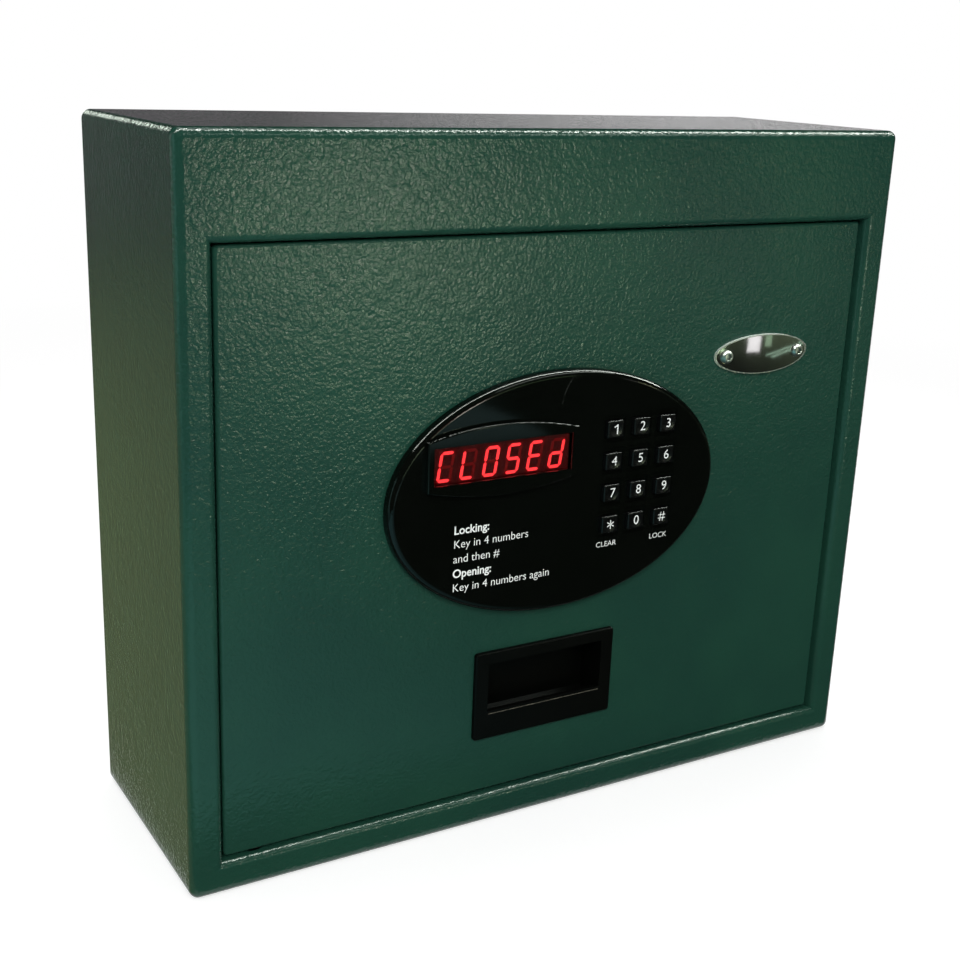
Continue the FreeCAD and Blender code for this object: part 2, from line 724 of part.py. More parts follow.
def door_pan():
    shape = box(DOOR_LEFT, DOOR_RIGHT, DOOR_FACE, DOOR_BACK, DOOR_BOTTOM, DOOR_TOP)
    shape = fillet_where(shape, DOOR_CORNER, runs_along_y)
    shape = fillet_where(shape, DOOR_BEND, lambda edge: lies_at_y(edge, DOOR_FACE))
    hollow = box(
        DOOR_LEFT + DOOR_SHEET, DOOR_RIGHT - DOOR_SHEET, DOOR_INSIDE, DOOR_BACK - DOOR_SHEET,
        DOOR_BOTTOM + DOOR_SHEET, DOOR_TOP - DOOR_SHEET)
    inset = DOOR_SHEET + DOOR_LIP
    mouth = box(
        DOOR_LEFT + inset, DOOR_RIGHT - inset, DOOR_INSIDE, DOOR_BACK + OVERCUT,
        DOOR_BOTTOM + inset, DOOR_TOP - inset)
    shape = shape.cut([hollow, mouth])
    cuts = door_cutouts()
    bush_radius = BUSH_DIAMETER / 2 + PIN_FIT
    cuts.append(rod_z(PIVOT_X, PIVOT_Y, bush_radius, DOOR_BOTTOM - OVERCUT, DOOR_TOP + OVERCUT))
    guide_radius = BOLT_DIAMETER / 2 + BOLT_FIT + GUIDE_WALL + PIN_FIT
    for z in bolt_heights():
        cuts.append(rod_x(BOLT_Y, z, guide_radius, DOOR_RIGHT - DOOR_SHEET - OVERCUT, DOOR_RIGHT + OVERCUT))
    for x, z in inner_cover_screw_places():
        radius = COVER_FIXING_DIAMETER / 2 + PIN_FIT
        cuts.append(rod_y(x, z, radius, DOOR_BACK - DOOR_SHEET - OVERCUT, DOOR_BACK + OVERCUT))
    return shape.cut(cuts)


# Control panel, display and keypad


def visor_body(inset, y0, y1):
    """The display's outline: upright sides, and arcs that bow up and down."""
    half = VISOR_WIDTH / 2 - inset
    side = VISOR_SIDE / 2 - inset
    crown = side + VISOR_CROWN
    z = up(DISPLAY_UP)

    def at(dx, dz):
        return Vector(DISPLAY_X + dx, y0, z + dz)

    edges = [
        Part.Arc(at(-half, side), at(0, crown), at(half, side)).toShape(),
        Part.LineSegment(at(half, side), at(half, -side)).toShape(),
        Part.Arc(at(half, -side), at(0, -crown), at(-half, -side)).toShape(),
        Part.LineSegment(at(-half, -side), at(-half, side)).toShape(),
    ]
    return Part.Face(Part.Wire(edges)).extrude(Vector(0, y1 - y0, 0))


def control_panel():
    z = up(PANEL_UP)
    shell = oval(PANEL_X, z, PANEL_WIDTH, PANEL_HEIGHT, PANEL_FACE, DOOR_FACE)
    shell = fillet_where(shell, PANEL_ROUNDING, lambda edge: lies_at_y(edge, PANEL_FACE))
    wall = 2 * PANEL_WALL
    hollow = oval(
        PANEL_X, z, PANEL_WIDTH - wall, PANEL_HEIGHT - wall, PANEL_INSIDE, DOOR_FACE + OVERCUT)
    visor = visor_body(0, VISOR_FACE, PANEL_INSIDE)
    visor = fillet_where(visor, VISOR_EDGE, lambda edge: lies_at_y(edge, VISOR_FACE))
    cuts = [visor_body(VISOR_WALL, VISOR_FACE + VISOR_WALL, PANEL_INSIDE + OVERCUT)]
    cuts.append(centred_box(
        DISPLAY_X, up(DISPLAY_UP), WINDOW_WIDTH, WINDOW_HEIGHT,
        VISOR_FACE - OVERCUT, PANEL_INSIDE))
    for _, _, x, key_z in key_places():
        hole_width = KEY_WIDTH + 2 * KEY_GAP
        hole_height = KEY_HEIGHT + 2 * KEY_GAP
        cuts.append(plate(
            x, key_z, WELL_WIDTH, WELL_HEIGHT, WELL_CORNER,
            PANEL_FACE - OVERCUT, PANEL_FACE + WELL_DEPTH))
        cuts.append(plate(
            x, key_z, hole_width, hole_height, KEY_CORNER,
            PANEL_FACE, PANEL_INSIDE + OVERCUT))
    panel = shell.cut(hollow).fuse(visor).cut(cuts)
    additions = [rod_y(x, boss_z, BOSS_DIAMETER / 2, PANEL_INSIDE, BOARD_FRONT) for x, boss_z in boss_places()]
    for x, stud_z in panel_stud_places():
        boss = PANEL_STUD_DIAMETER / 2 + PANEL_WALL
        additions.append(rod_y(x, stud_z, boss, PANEL_INSIDE, DOOR_FACE))
        additions.append(rod_y(
            x, stud_z, PANEL_STUD_DIAMETER / 2, DOOR_FACE, DOOR_FACE + PANEL_STUD_LENGTH))
    panel = panel.fuse(additions)
    pilot = BOSS_SCREW_DIAMETER / 2 + PIN_FIT
    bores = [rod_y(x, boss_z, pilot, BOARD_FRONT - BOSS_SCREW_LENGTH, BOARD_FRONT + OVERCUT)
             for x, boss_z in boss_places()]
    return panel.cut(bores).removeSplitter()


def display_window():
    z = up(DISPLAY_UP)
    shoulder = VISOR_FACE + VISOR_WALL
    pane = centred_box(
        DISPLAY_X, z, WINDOW_WIDTH - 2 * WINDOW_FIT, WINDOW_HEIGHT - 2 * WINDOW_FIT,
        WINDOW_FACE, WINDOW_FACE + WINDOW_THICKNESS)
    flange = centred_box(
        DISPLAY_X, z, WINDOW_WIDTH + 2 * WINDOW_FLANGE, WINDOW_HEIGHT + 2 * WINDOW_FLANGE,
        shoulder, WINDOW_FACE + WINDOW_THICKNESS)
    return pane.fuse(flange).removeSplitter()


def display_module():
    front = WINDOW_FACE + WINDOW_THICKNESS + DIGIT_BLOCK_GAP
    return centred_box(
        DISPLAY_X, up(DISPLAY_UP), DIGIT_BLOCK_WIDTH, DIGIT_BLOCK_HEIGHT, front, BOARD_FRONT)


def keypad_board():
    """One board behind the display and keys, with a push switch behind each key."""
    left = DISPLAY_X - VISOR_WIDTH / 2
    right = KEYPAD_X + (KEY_COLUMNS - 1) / 2 * KEY_PITCH_X + KEY_WIDTH / 2 + BOARD_MARGIN
    low = up(KEYPAD_UP) - (KEY_ROWS - 1) / 2 * KEY_PITCH_Z - KEY_HEIGHT / 2 - BOARD_MARGIN
    high = up(KEYPAD_BOARD_TOP)
    board = plate(
        (left + right) / 2, (low + high) / 2, right - left, high - low, BOARD_MARGIN,
        BOARD_FRONT, BOARD_FRONT + BOARD_THICKNESS)
    hole = BOSS_SCREW_DIAMETER / 2 + STUD_HOLE_CLEARANCE
    for x, z in boss_places():
        board = board.cut(rod_y(x, z, hole, BOARD_FRONT - OVERCUT, BOARD_FRONT + BOARD_THICKNESS + OVERCUT))
    solids = [board]
    for _, _, x, z in key_places():
        body = centred_box(x, z, SWITCH_SIZE, SWITCH_SIZE, BOARD_FRONT - SWITCH_HEIGHT, BOARD_FRONT)
        top = BOARD_FRONT - SWITCH_HEIGHT
        plunger = rod_y(x, z, KEY_STEM_DIAMETER / 2, top - PLUNGER_HEIGHT, top)
        solids.append(body.fuse(plunger).removeSplitter())
    return Part.makeCompound(solids)


def board_screws():
    back = BOARD_FRONT + BOARD_THICKNESS
    length = BOSS_SCREW_LENGTH + BOARD_THICKNESS - PIN_CHAMFER
    screws = [
        pan_screw(
            Vector(x, back, z), Vector(0, 1, 0), BOSS_SCREW_DIAMETER, length,
            BOSS_SCREW_HEAD, BOSS_SCREW_RISE)
        for x, z in boss_places()
    ]
    return Part.makeCompound(screws)


def panel_nuts():
    nuts = [
        hex_nut(
            x, z, PANEL_NUT_FLATS, PANEL_STUD_DIAMETER / 2 + PIN_FIT,
            DOOR_INSIDE, DOOR_INSIDE + PANEL_NUT_THICKNESS)
        for x, z in panel_stud_places()
    ]
    return Part.makeCompound(nuts)


def key(x, z):
    """A dished key cap with rounded edges, a flange behind the panel and a stem to its switch."""
    front = PANEL_FACE - KEY_RISE
    flange_front = PANEL_INSIDE + KEY_GAP
    flange_back = flange_front + KEY_FLANGE_THICKNESS
    cap = plate(x, z, KEY_WIDTH, KEY_HEIGHT, KEY_CORNER, front, flange_front)
    cap = fillet_where(cap, KEY_EDGE, lambda edge: lies_at_y(edge, front))
    dish_centre = Vector(x, front + KEY_DISH_DEPTH - KEY_DISH_RADIUS, z)
    cap = cap.cut(Part.makeSphere(KEY_DISH_RADIUS, dish_centre))
    flange = centred_box(
        x, z, KEY_WIDTH + 2 * KEY_FLANGE, KEY_HEIGHT + 2 * KEY_FLANGE, flange_front, flange_back)
    plunger_top = BOARD_FRONT - SWITCH_HEIGHT - PLUNGER_HEIGHT
    stem_end = plunger_top - KEY_TRAVEL - KEY_END_GAP
    stem = rod_y(x, z, KEY_STEM_DIAMETER / 2, flange_back, stem_end)
    return cap.fuse([flange, stem]).removeSplitter()


# Flush pull


def pull_levels():
    """The Z of the mouth's top, the lip's top edge and the pocket's floor."""
    top = up(PULL_UP) + PULL_HEIGHT / 2 - PULL_MOUTH_TOP
    low = top - PULL_MOUTH_HEIGHT
    return top, low, low - PULL_POCKET_DROP


def pull_pocket_back(grow):
    """Side view of the pocket's roof, back and floor as (y, z) points, grown by a wall."""
    top, _, bottom = pull_levels()
    face = DOOR_FACE - PULL_RISE
    deep = face + PULL_POCKET_DEPTH
    return [
        (face, top + grow),
        (deep + grow, top - PULL_POCKET_SLOPE + grow),
        (deep + grow, bottom + 2 * PULL_POCKET_SLOPE - grow),
        (deep - 2 * PULL_POCKET_SLOPE, bottom - grow),
    ]


def pull_outside():
    """The closed outer form of the pocket, behind the door's face."""
    _, _, bottom = pull_levels()
    outline = pull_pocket_back(PULL_WALL) + [(DOOR_FACE - PULL_RISE, bottom - PULL_WALL)]
    start = PULL_X - PULL_MOUTH_WIDTH / 2 - PULL_WALL
    body = folded(
        [Vector(start, y, z) for y, z in outline], Vector(PULL_MOUTH_WIDTH + 2 * PULL_WALL, 0, 0))
    return body.cut(centred_box(
        PULL_X, up(PULL_UP), PULL_WIDTH, 2 * PULL_HEIGHT,
        DOOR_FACE - PULL_RISE - OVERCUT, DOOR_FACE - PULL_RISE / 2))


def pull_inside():
    """The finger space: it drops behind the lip below the mouth."""
    _, low, bottom = pull_levels()
    face = DOOR_FACE - PULL_RISE
    lip_back = face + PULL_LIP_THICKNESS
    outline = pull_pocket_back(0) + [
        (lip_back, bottom),
        (lip_back, low),
        (face, low),
    ]
    start = PULL_X - PULL_MOUTH_WIDTH / 2
    return folded([Vector(start, y, z) for y, z in outline], Vector(PULL_MOUTH_WIDTH, 0, 0))


def pull_body(grow, y0, y1):
    """The straight passage through the door that the pocket's outside needs."""
    top, _, bottom = pull_levels()
    reach = PULL_WALL + grow
    return centred_box(
        PULL_X, (top + bottom) / 2, PULL_MOUTH_WIDTH + 2 * reach, top - bottom + 2 * reach, y0, y1)


def pull_cup():
    z = up(PULL_UP)
    face = DOOR_FACE - PULL_RISE
    bezel = plate(PULL_X, z, PULL_WIDTH, PULL_HEIGHT, PULL_CORNER, face, DOOR_FACE)
    bezel = fillet_where(bezel, PULL_EDGE, lambda edge: lies_at_y(edge, face))
    cup = bezel.fuse(pull_outside()).cut(pull_inside())
    studs = [
        rod_y(x, stud_z, PULL_STUD_DIAMETER / 2, DOOR_FACE - PULL_RISE / 2, DOOR_FACE + PULL_STUD_LENGTH)
        for x, stud_z in pull_stud_places()
    ]
    return cup.fuse(studs).removeSplitter()


def pull_nuts():
    nuts = [
        hex_nut(
            x, z, PULL_NUT_FLATS, PULL_STUD_DIAMETER / 2 + PIN_FIT,
            DOOR_INSIDE, DOOR_INSIDE + PULL_NUT_THICKNESS)
        for x, z in pull_stud_places()
    ]
    return Part.makeCompound(nuts)


# Key override


def override_cover_plate():
    """An oval plate whose front is a shallow dome."""
    z = up(LOCK_UP)
    front = DOOR_FACE - COVER_THICKNESS
    blank = oval(LOCK_X, z, COVER_WIDTH, COVER_HEIGHT, front, DOOR_FACE)
    dome = Part.makeSphere(COVER_DOME_RADIUS, Vector(LOCK_X, front + COVER_DOME_RADIUS, z))
    cover = blank.common(dome)
    seat = COVER_SCREW_HEAD / 2 + STUD_HOLE_CLEARANCE
    for x in cover_screw_places():
        hole = COVER_SCREW_DIAMETER / 2 + STUD_HOLE_CLEARANCE
        cover = cover.cut(rod_y(x, z, hole, front - OVERCUT, DOOR_FACE + OVERCUT))
        cover = cover.cut(rod_y(x, z, seat, front - OVERCUT, DOOR_FACE - COVER_SCREW_SEAT))
    return cover


def cover_screws():
    """Domed screws through the plate and door into the lock bracket's feet."""
    length = COVER_SCREW_SEAT + DOOR_SHEET + LOCK_BRACKET_SHEET
    screws = []
    for x in cover_screw_places():
        foot = Vector(x, DOOR_FACE - COVER_SCREW_SEAT, up(LOCK_UP))
        rise = COVER_THICKNESS - COVER_SCREW_SEAT + COVER_SCREW_RISE / 2
        screws.append(pan_screw(
            foot, Vector(0, -1, 0), COVER_SCREW_DIAMETER, length, COVER_SCREW_HEAD, rise))
    return Part.makeCompound(screws)


def lock_bracket():
    """A hat section: two feet on the door and a bridge that carries the barrel."""
    t = LOCK_BRACKET_SHEET
    half = LOCK_BRACKET_WIDTH / 2
    low = up(LOCK_UP) - LOCK_BRACKET_HEIGHT / 2
    y0 = DOOR_INSIDE
    y1 = DOOR_INSIDE + LOCK_BRACKET_DEPTH
    outline = [
        (-half - LOCK_FOOT, y0), (-half + t, y0), (-half + t, y1 - t), (half - t, y1 - t),
        (half - t, y0), (half + LOCK_FOOT, y0), (half + LOCK_FOOT, y0 + t), (half, y0 + t),
        (half, y1), (-half, y1), (-half, y0 + t), (-half - LOCK_FOOT, y0 + t),
    ]
    points = [Vector(LOCK_X + dx, y, low) for dx, y in outline]
    bracket = folded(points, Vector(0, 0, LOCK_BRACKET_HEIGHT))
    neck = BARREL_NECK_DIAMETER / 2 + PIN_FIT
    bracket = bracket.cut(rod_y(LOCK_X, up(LOCK_UP), neck, y1 - t - OVERCUT, y1 + OVERCUT))
    for x in cover_screw_places():
        radius = COVER_SCREW_DIAMETER / 2 + PIN_FIT
        bracket = bracket.cut(rod_y(x, up(LOCK_UP), radius, y0 - OVERCUT, y0 + t + OVERCUT))
    return bracket


def lock_barrel():
    """A stepped barrel: the shoulder bears on the bridge, and the nut clamps the neck."""
    start = DOOR_FACE + BARREL_RECESS
    shoulder = DOOR_INSIDE + LOCK_BRACKET_DEPTH - LOCK_BRACKET_SHEET - start
    bore = PLUG_DIAMETER / 2 + PLUG_FIT
    outline = [
        (bore, 0),
        (BARREL_DIAMETER / 2, 0),
        (BARREL_DIAMETER / 2, shoulder),
        (BARREL_NECK_DIAMETER / 2, shoulder),
        (BARREL_NECK_DIAMETER / 2, BARREL_LENGTH),
        (bore, BARREL_LENGTH),
    ]
    return turned(outline, Vector(LOCK_X, start, up(LOCK_UP)), Vector(0, 1, 0))


def lock_nut():
    y0 = DOOR_INSIDE + LOCK_BRACKET_DEPTH
    return hex_nut(
        LOCK_X, up(LOCK_UP), LOCK_NUT_FLATS, BARREL_NECK_DIAMETER / 2 + PIN_FIT,
        y0, y0 + LOCK_NUT_THICKNESS)


def cam_front():
    return DOOR_FACE + BARREL_RECESS + BARREL_LENGTH + CAM_GAP


def lock_plug():
    z = up(LOCK_UP)
    start = DOOR_FACE + 2 * BARREL_RECESS
    body = rod_y(LOCK_X, z, PLUG_DIAMETER / 2, start, cam_front())
    tail = centred_box(
        LOCK_X, z, PLUG_TAIL, PLUG_TAIL, cam_front(), cam_front() + CAM_THICKNESS)
    keyway = centred_box(LOCK_X, z, KEYWAY_WIDTH, KEYWAY_HEIGHT, start - OVERCUT, start + KEYWAY_DEPTH)
    screw_bore = rod_y(
        LOCK_X, z, CAM_SCREW_DIAMETER / 2 + PIN_FIT,
        cam_front() + CAM_THICKNESS - CAM_SCREW_LENGTH, cam_front() + CAM_THICKNESS + OVERCUT)
    return body.fuse(tail).removeSplitter().cut([keyway, screw_bore])


def lock_cam():
    """A round hub and a straight arm with a rounded end, hanging down at rest."""
    z = up(LOCK_UP)
    y0 = cam_front()
    y1 = y0 + CAM_THICKNESS
    tip = z - CAM_REACH + CAM_WIDTH / 2
    hub = rod_y(LOCK_X, z, CAM_HUB_DIAMETER / 2, y0, y1)
    arm = box(LOCK_X - CAM_WIDTH / 2, LOCK_X + CAM_WIDTH / 2, y0, y1, tip, z)
    end = rod_y(LOCK_X, tip, CAM_WIDTH / 2, y0, y1)
    square = PLUG_TAIL + 2 * PIN_FIT
    hole = centred_box(LOCK_X, z, square, square, y0 - OVERCUT, y1 + OVERCUT)
    return hub.fuse([arm, end]).removeSplitter().cut(hole)


def cam_screw():
    foot = Vector(LOCK_X, cam_front() + CAM_THICKNESS, up(LOCK_UP))
    return pan_screw(
        foot, Vector(0, 1, 0), CAM_SCREW_DIAMETER, CAM_SCREW_LENGTH - PIN_CHAMFER,
        CAM_SCREW_HEAD, CAM_SCREW_HEIGHT)


# Bolt work


def carriage_low():
    return bolt_heights()[0] - CARRIAGE_EAR / 2


def carriage_high():
    return bolt_heights()[1] + CARRIAGE_EAR / 2


def stud_places():
    rows = (
        bolt_heights()[0] - STUD_INSET,
        bolt_heights()[1] - CARRIAGE_EAR / 2 - STUD_COLLAR / 2 - STUD_INSET,
    )
    return [(x, z) for z in rows for x in (STUD_LEFT_X, STUD_RIGHT_X)]


def motor_bracket_leg():
    """The underside of the bracket's leg, which the gearbox hangs from."""
    return up(RACK_UP) - PINION_FACE / 2 - MOTOR_BRACKET_SHEET - MOTOR_SCREW_RISE - WINDOW_CLEARANCE / 2


def bolt_carriage():
    """A slotted plate with an ear folded back for each bolt and one for the lock's cam."""
    low = carriage_low()
    high = carriage_high()
    web = plate(
        (CARRIAGE_LEFT + CARRIAGE_RIGHT) / 2, (low + high) / 2,
        CARRIAGE_RIGHT - CARRIAGE_LEFT, high - low, CARRIAGE_CORNER, WEB_FRONT, WEB_BACK)
    reach = BOLT_Y + BOLT_DIAMETER / 2 + CARRIAGE_EAR_MARGIN
    ears = []
    for z in bolt_heights():
        ear = box(
            CARRIAGE_RIGHT - CARRIAGE_SHEET, CARRIAGE_RIGHT, WEB_FRONT, reach,
            z - CARRIAGE_EAR / 2 + CARRIAGE_CORNER, z + CARRIAGE_EAR / 2 - CARRIAGE_CORNER)
        ears.append(ear.cut(rod_x(
            BOLT_Y, z, BOLT_TAIL_DIAMETER / 2 + PIN_FIT,
            CARRIAGE_RIGHT - CARRIAGE_SHEET - OVERCUT, CARRIAGE_RIGHT + OVERCUT)))
    tab_top = up(LOCK_UP) - CAM_REACH - CAM_TAB_CLEARANCE
    ears.append(box(
        CARRIAGE_LEFT, CARRIAGE_LEFT + CARRIAGE_SHEET, WEB_FRONT, cam_front() + CAM_THICKNESS + CAM_GAP,
        tab_top - CAM_TAB_HEIGHT, tab_top))
    cuts = []
    for x, z in stud_places():
        cuts.append(slot_x(
            x - BOLT_THROW, x, z, STUD_DIAMETER / 2 + STUD_FIT,
            WEB_FRONT - OVERCUT, WEB_BACK + OVERCUT))
    half = MOTOR_BRACKET_WIDTH / 2 + WINDOW_CLEARANCE
    opening_top = motor_bracket_leg() + MOTOR_BRACKET_SHEET + WINDOW_CLEARANCE / 2
    opening_low = opening_top - WINDOW_BELOW
    x0 = MOTOR_X - half - BOLT_THROW
    x1 = MOTOR_X + half
    cuts.append(plate(
        (x0 + x1) / 2, (opening_low + opening_top) / 2, x1 - x0, opening_top - opening_low,
        WINDOW_CLEARANCE, WEB_FRONT - OVERCUT, WEB_BACK + OVERCUT))
    return web.cut(cuts).fuse(ears).removeSplitter()


def bolt(z):
    """A round bolt with a chamfered nose and a riveted tail, retracted at rest."""
    nose = DOOR_RIGHT - BOLT_REVEAL
    radius = BOLT_DIAMETER / 2
    tail = BOLT_TAIL_DIAMETER / 2
    head = BOLT_RIVET_HEAD / 2
    length = nose - CARRIAGE_RIGHT
    outline = [
        (0, -CARRIAGE_SHEET - BOLT_RIVET_THICKNESS),
        (head - PIN_CHAMFER, -CARRIAGE_SHEET - BOLT_RIVET_THICKNESS),
        (head, -CARRIAGE_SHEET - BOLT_RIVET_THICKNESS + PIN_CHAMFER),
        (head, -CARRIAGE_SHEET),
        (tail, -CARRIAGE_SHEET),
        (tail, 0),
        (radius, 0),
        (radius, length - BOLT_CHAMFER),
        (radius - BOLT_CHAMFER, length),
        (0, length),
    ]
    return turned(outline, Vector(CARRIAGE_RIGHT, BOLT_Y, z), Vector(1, 0, 0))


def bolt_guides():
    bore = BOLT_DIAMETER / 2 + BOLT_FIT
    sleeve = bore + GUIDE_WALL
    flange = sleeve + GUIDE_FLANGE
    outline = [
        (bore, 0),
        (sleeve, 0),
        (sleeve, DOOR_SHEET),
        (flange, DOOR_SHEET),
        (flange, DOOR_SHEET + GUIDE_FLANGE_THICKNESS),
        (bore, DOOR_SHEET + GUIDE_FLANGE_THICKNESS),
    ]
    guides = [turned(outline, Vector(DOOR_RIGHT, BOLT_Y, z), Vector(-1, 0, 0)) for z in bolt_heights()]
    return Part.makeCompound(guides)


def guide_studs():
    """Shouldered studs on the door: collar, sliding shoulder and thread."""
    shoulder = CARRIAGE_STANDOFF + CARRIAGE_SHEET + 2 * STUD_PLAY
    collar = CARRIAGE_STANDOFF - STUD_PLAY
    outline = [
        (0, 0),
        (STUD_COLLAR / 2, 0),
        (STUD_COLLAR / 2, collar),
        (STUD_DIAMETER / 2, collar),
        (STUD_DIAMETER / 2, shoulder),
        (STUD_THREAD_DIAMETER / 2, shoulder),
        (STUD_THREAD_DIAMETER / 2, shoulder + GUIDE_NUT_THICKNESS + PIN_CHAMFER),
        (0, shoulder + GUIDE_NUT_THICKNESS + PIN_CHAMFER),
    ]
    studs = [turned(outline, Vector(x, DOOR_INSIDE, z), Vector(0, 1, 0)) for x, z in stud_places()]
    return Part.makeCompound(studs)


def guide_nuts():
    seat = WEB_BACK + 2 * STUD_PLAY
    bore = STUD_THREAD_DIAMETER / 2 + PIN_FIT
    outline = [
        (bore, 0),
        (GUIDE_NUT_DIAMETER / 2, 0),
        (GUIDE_NUT_DIAMETER / 2, GUIDE_NUT_THICKNESS / 3),
        (GUIDE_NUT_NECK / 2, GUIDE_NUT_THICKNESS / 3),
        (GUIDE_NUT_NECK / 2, GUIDE_NUT_THICKNESS),
        (bore, GUIDE_NUT_THICKNESS),
    ]
    nuts = [turned(outline, Vector(x, seat, z), Vector(0, 1, 0)) for x, z in stud_places()]
    return Part.makeCompound(nuts)


# Rack and pinion


def involute(base_radius, roll):
    """A point of the involute of a circle, at a roll angle in radians."""
    x = base_radius * (math.cos(roll) + roll * math.sin(roll))
    y = base_radius * (math.sin(roll) - roll * math.cos(roll))
    return x, y


def drive_pinion():
    """Involute teeth round the motor shaft, with one tooth facing the rack at rest."""
    tip_radius = PITCH_RADIUS + ADDENDUM
    root_radius = PITCH_RADIUS - DEDENDUM
    base_radius = PITCH_RADIUS * math.cos(math.radians(PRESSURE_ANGLE))
    start_radius = max(base_radius, root_radius)
    pitch_roll = math.sqrt((PITCH_RADIUS / base_radius) ** 2 - 1)
    pitch_x, pitch_y = involute(base_radius, pitch_roll)
    pitch_angle = math.atan2(pitch_y, pitch_x)
    half_tooth = math.pi / (2 * PINION_TEETH) - GEAR_BACKLASH / (4 * PITCH_RADIUS)
    first = math.sqrt(max((start_radius / base_radius) ** 2 - 1, 0))
    last = math.sqrt((tip_radius / base_radius) ** 2 - 1)
    flank = []
    for index in range(FLANK_POINTS):
        x, y = involute(base_radius, first + (last - first) * index / (FLANK_POINTS - 1))
        flank.append((math.hypot(x, y), math.atan2(y, x) - pitch_angle - half_tooth))
    edges = []

    def at(radius, angle):
        return Vector(MOTOR_X + radius * math.cos(angle), PINION_Y + radius * math.sin(angle), foot)

    foot = up(RACK_UP) - PINION_FACE / 2
    step = 2 * math.pi / PINION_TEETH
    for tooth in range(PINION_TEETH):
        centre = -math.pi / 2 + tooth * step
        rising = [at(radius, centre + angle) for radius, angle in flank]
        falling = [at(radius, centre - angle) for radius, angle in reversed(flank)]
        start_angle = flank[0][1]
        root_in = at(root_radius, centre + start_angle)
        root_out = at(root_radius, centre - start_angle)
        next_root = at(root_radius, centre + step + start_angle)
        valley = at(root_radius, centre + step / 2)
        rising_curve = Part.BSplineCurve()
        rising_curve.interpolate(rising)
        falling_curve = Part.BSplineCurve()
        falling_curve.interpolate(falling)
        if start_radius - root_radius > TINY:
            edges.append(Part.LineSegment(root_in, rising[0]).toShape())
        edges.append(rising_curve.toShape())
        edges.append(Part.Arc(rising[-1], at(tip_radius, centre), falling[0]).toShape())
        edges.append(falling_curve.toShape())
        if start_radius - root_radius > TINY:
            edges.append(Part.LineSegment(falling[-1], root_out).toShape())
        edges.append(Part.Arc(root_out, valley, next_root).toShape())
    wheel = Part.Face(Part.Wire(Part.__sortEdges__(edges))).extrude(Vector(0, 0, PINION_FACE))
    bore = SHAFT_DIAMETER / 2 + PIN_FIT / 2
    return wheel.cut(rod_z(MOTOR_X, PINION_Y, bore, foot - OVERCUT, foot + PINION_FACE + OVERCUT))


def drive_rack():
    """Straight-flanked teeth along the carriage, with a gap opposite the pinion at rest."""
    pitch = math.pi * GEAR_MODULE
    lean = math.tan(math.radians(PRESSURE_ANGLE))
    half = pitch / 4 - GEAR_BACKLASH / 4
    root = RACK_PITCH_Y - DEDENDUM
    tip = RACK_PITCH_Y + ADDENDUM
    middle = MOTOR_X - BOLT_THROW / 2
    gaps_left = math.floor((MOTOR_X - middle) / pitch + RACK_TEETH / 2)
    first = MOTOR_X - gaps_left * pitch + pitch / 2
    low = up(RACK_UP) - RACK_FACE / 2
    points = [(first - pitch / 2, WEB_BACK), (first - pitch / 2, root)]
    for tooth in range(RACK_TEETH):
        x = first + tooth * pitch
        points.append((x - half - DEDENDUM * lean, root))
        points.append((x - half + ADDENDUM * lean, tip))
        points.append((x + half - ADDENDUM * lean, tip))
        points.append((x + half + DEDENDUM * lean, root))
    end = first + (RACK_TEETH - 0.5) * pitch
    points.append((end, root))
    points.append((end, WEB_BACK))
    return folded([Vector(x, y, low) for x, y in points], Vector(0, 0, RACK_FACE))


def motor_shaft():
    leg = motor_bracket_leg()
    bottom = leg - SHAFT_BORE_DEPTH + PIN_CHAMFER
    top = up(RACK_UP) + PINION_FACE / 2 + PIN_CHAMFER
    return rod_z(MOTOR_X, PINION_Y, SHAFT_DIAMETER / 2, bottom, top)


def motor_screw_places():
    return [MOTOR_X - MOTOR_SCREW_SPREAD / 2, MOTOR_X + MOTOR_SCREW_SPREAD / 2]


def gear_motor():
    """A square gearbox above a can with two flats, a rear boss and two terminals."""
    leg = motor_bracket_leg()
    split = leg - GEARBOX_HEIGHT
    low = split - MOTOR_CAN_HEIGHT
    half_width = MOTOR_WIDTH / 2
    half_depth = MOTOR_DEPTH / 2
    gearbox = box(
        MOTOR_X - half_width, MOTOR_X + half_width, PINION_Y - half_depth, PINION_Y + half_depth,
        split, leg)
    can = rod_z(MOTOR_X, PINION_Y, half_width, low, split).common(box(
        MOTOR_X - half_width, MOTOR_X + half_width, PINION_Y - half_depth, PINION_Y + half_depth,
        low, split))
    boss = rod_z(MOTOR_X, PINION_Y, MOTOR_DEPTH / 4, low - PIN_CHAMFER, low)
    cuts = [rod_z(MOTOR_X, PINION_Y, SHAFT_DIAMETER / 2 + PIN_RUNNING_FIT, leg - SHAFT_BORE_DEPTH, leg + OVERCUT)]
    for x in motor_screw_places():
        cuts.append(rod_z(x, PINION_Y, MOTOR_SCREW_DIAMETER / 2 + PIN_FIT, leg - MOTOR_SCREW_LENGTH, leg + OVERCUT))
    return gearbox.fuse([can, boss]).removeSplitter().cut(cuts)


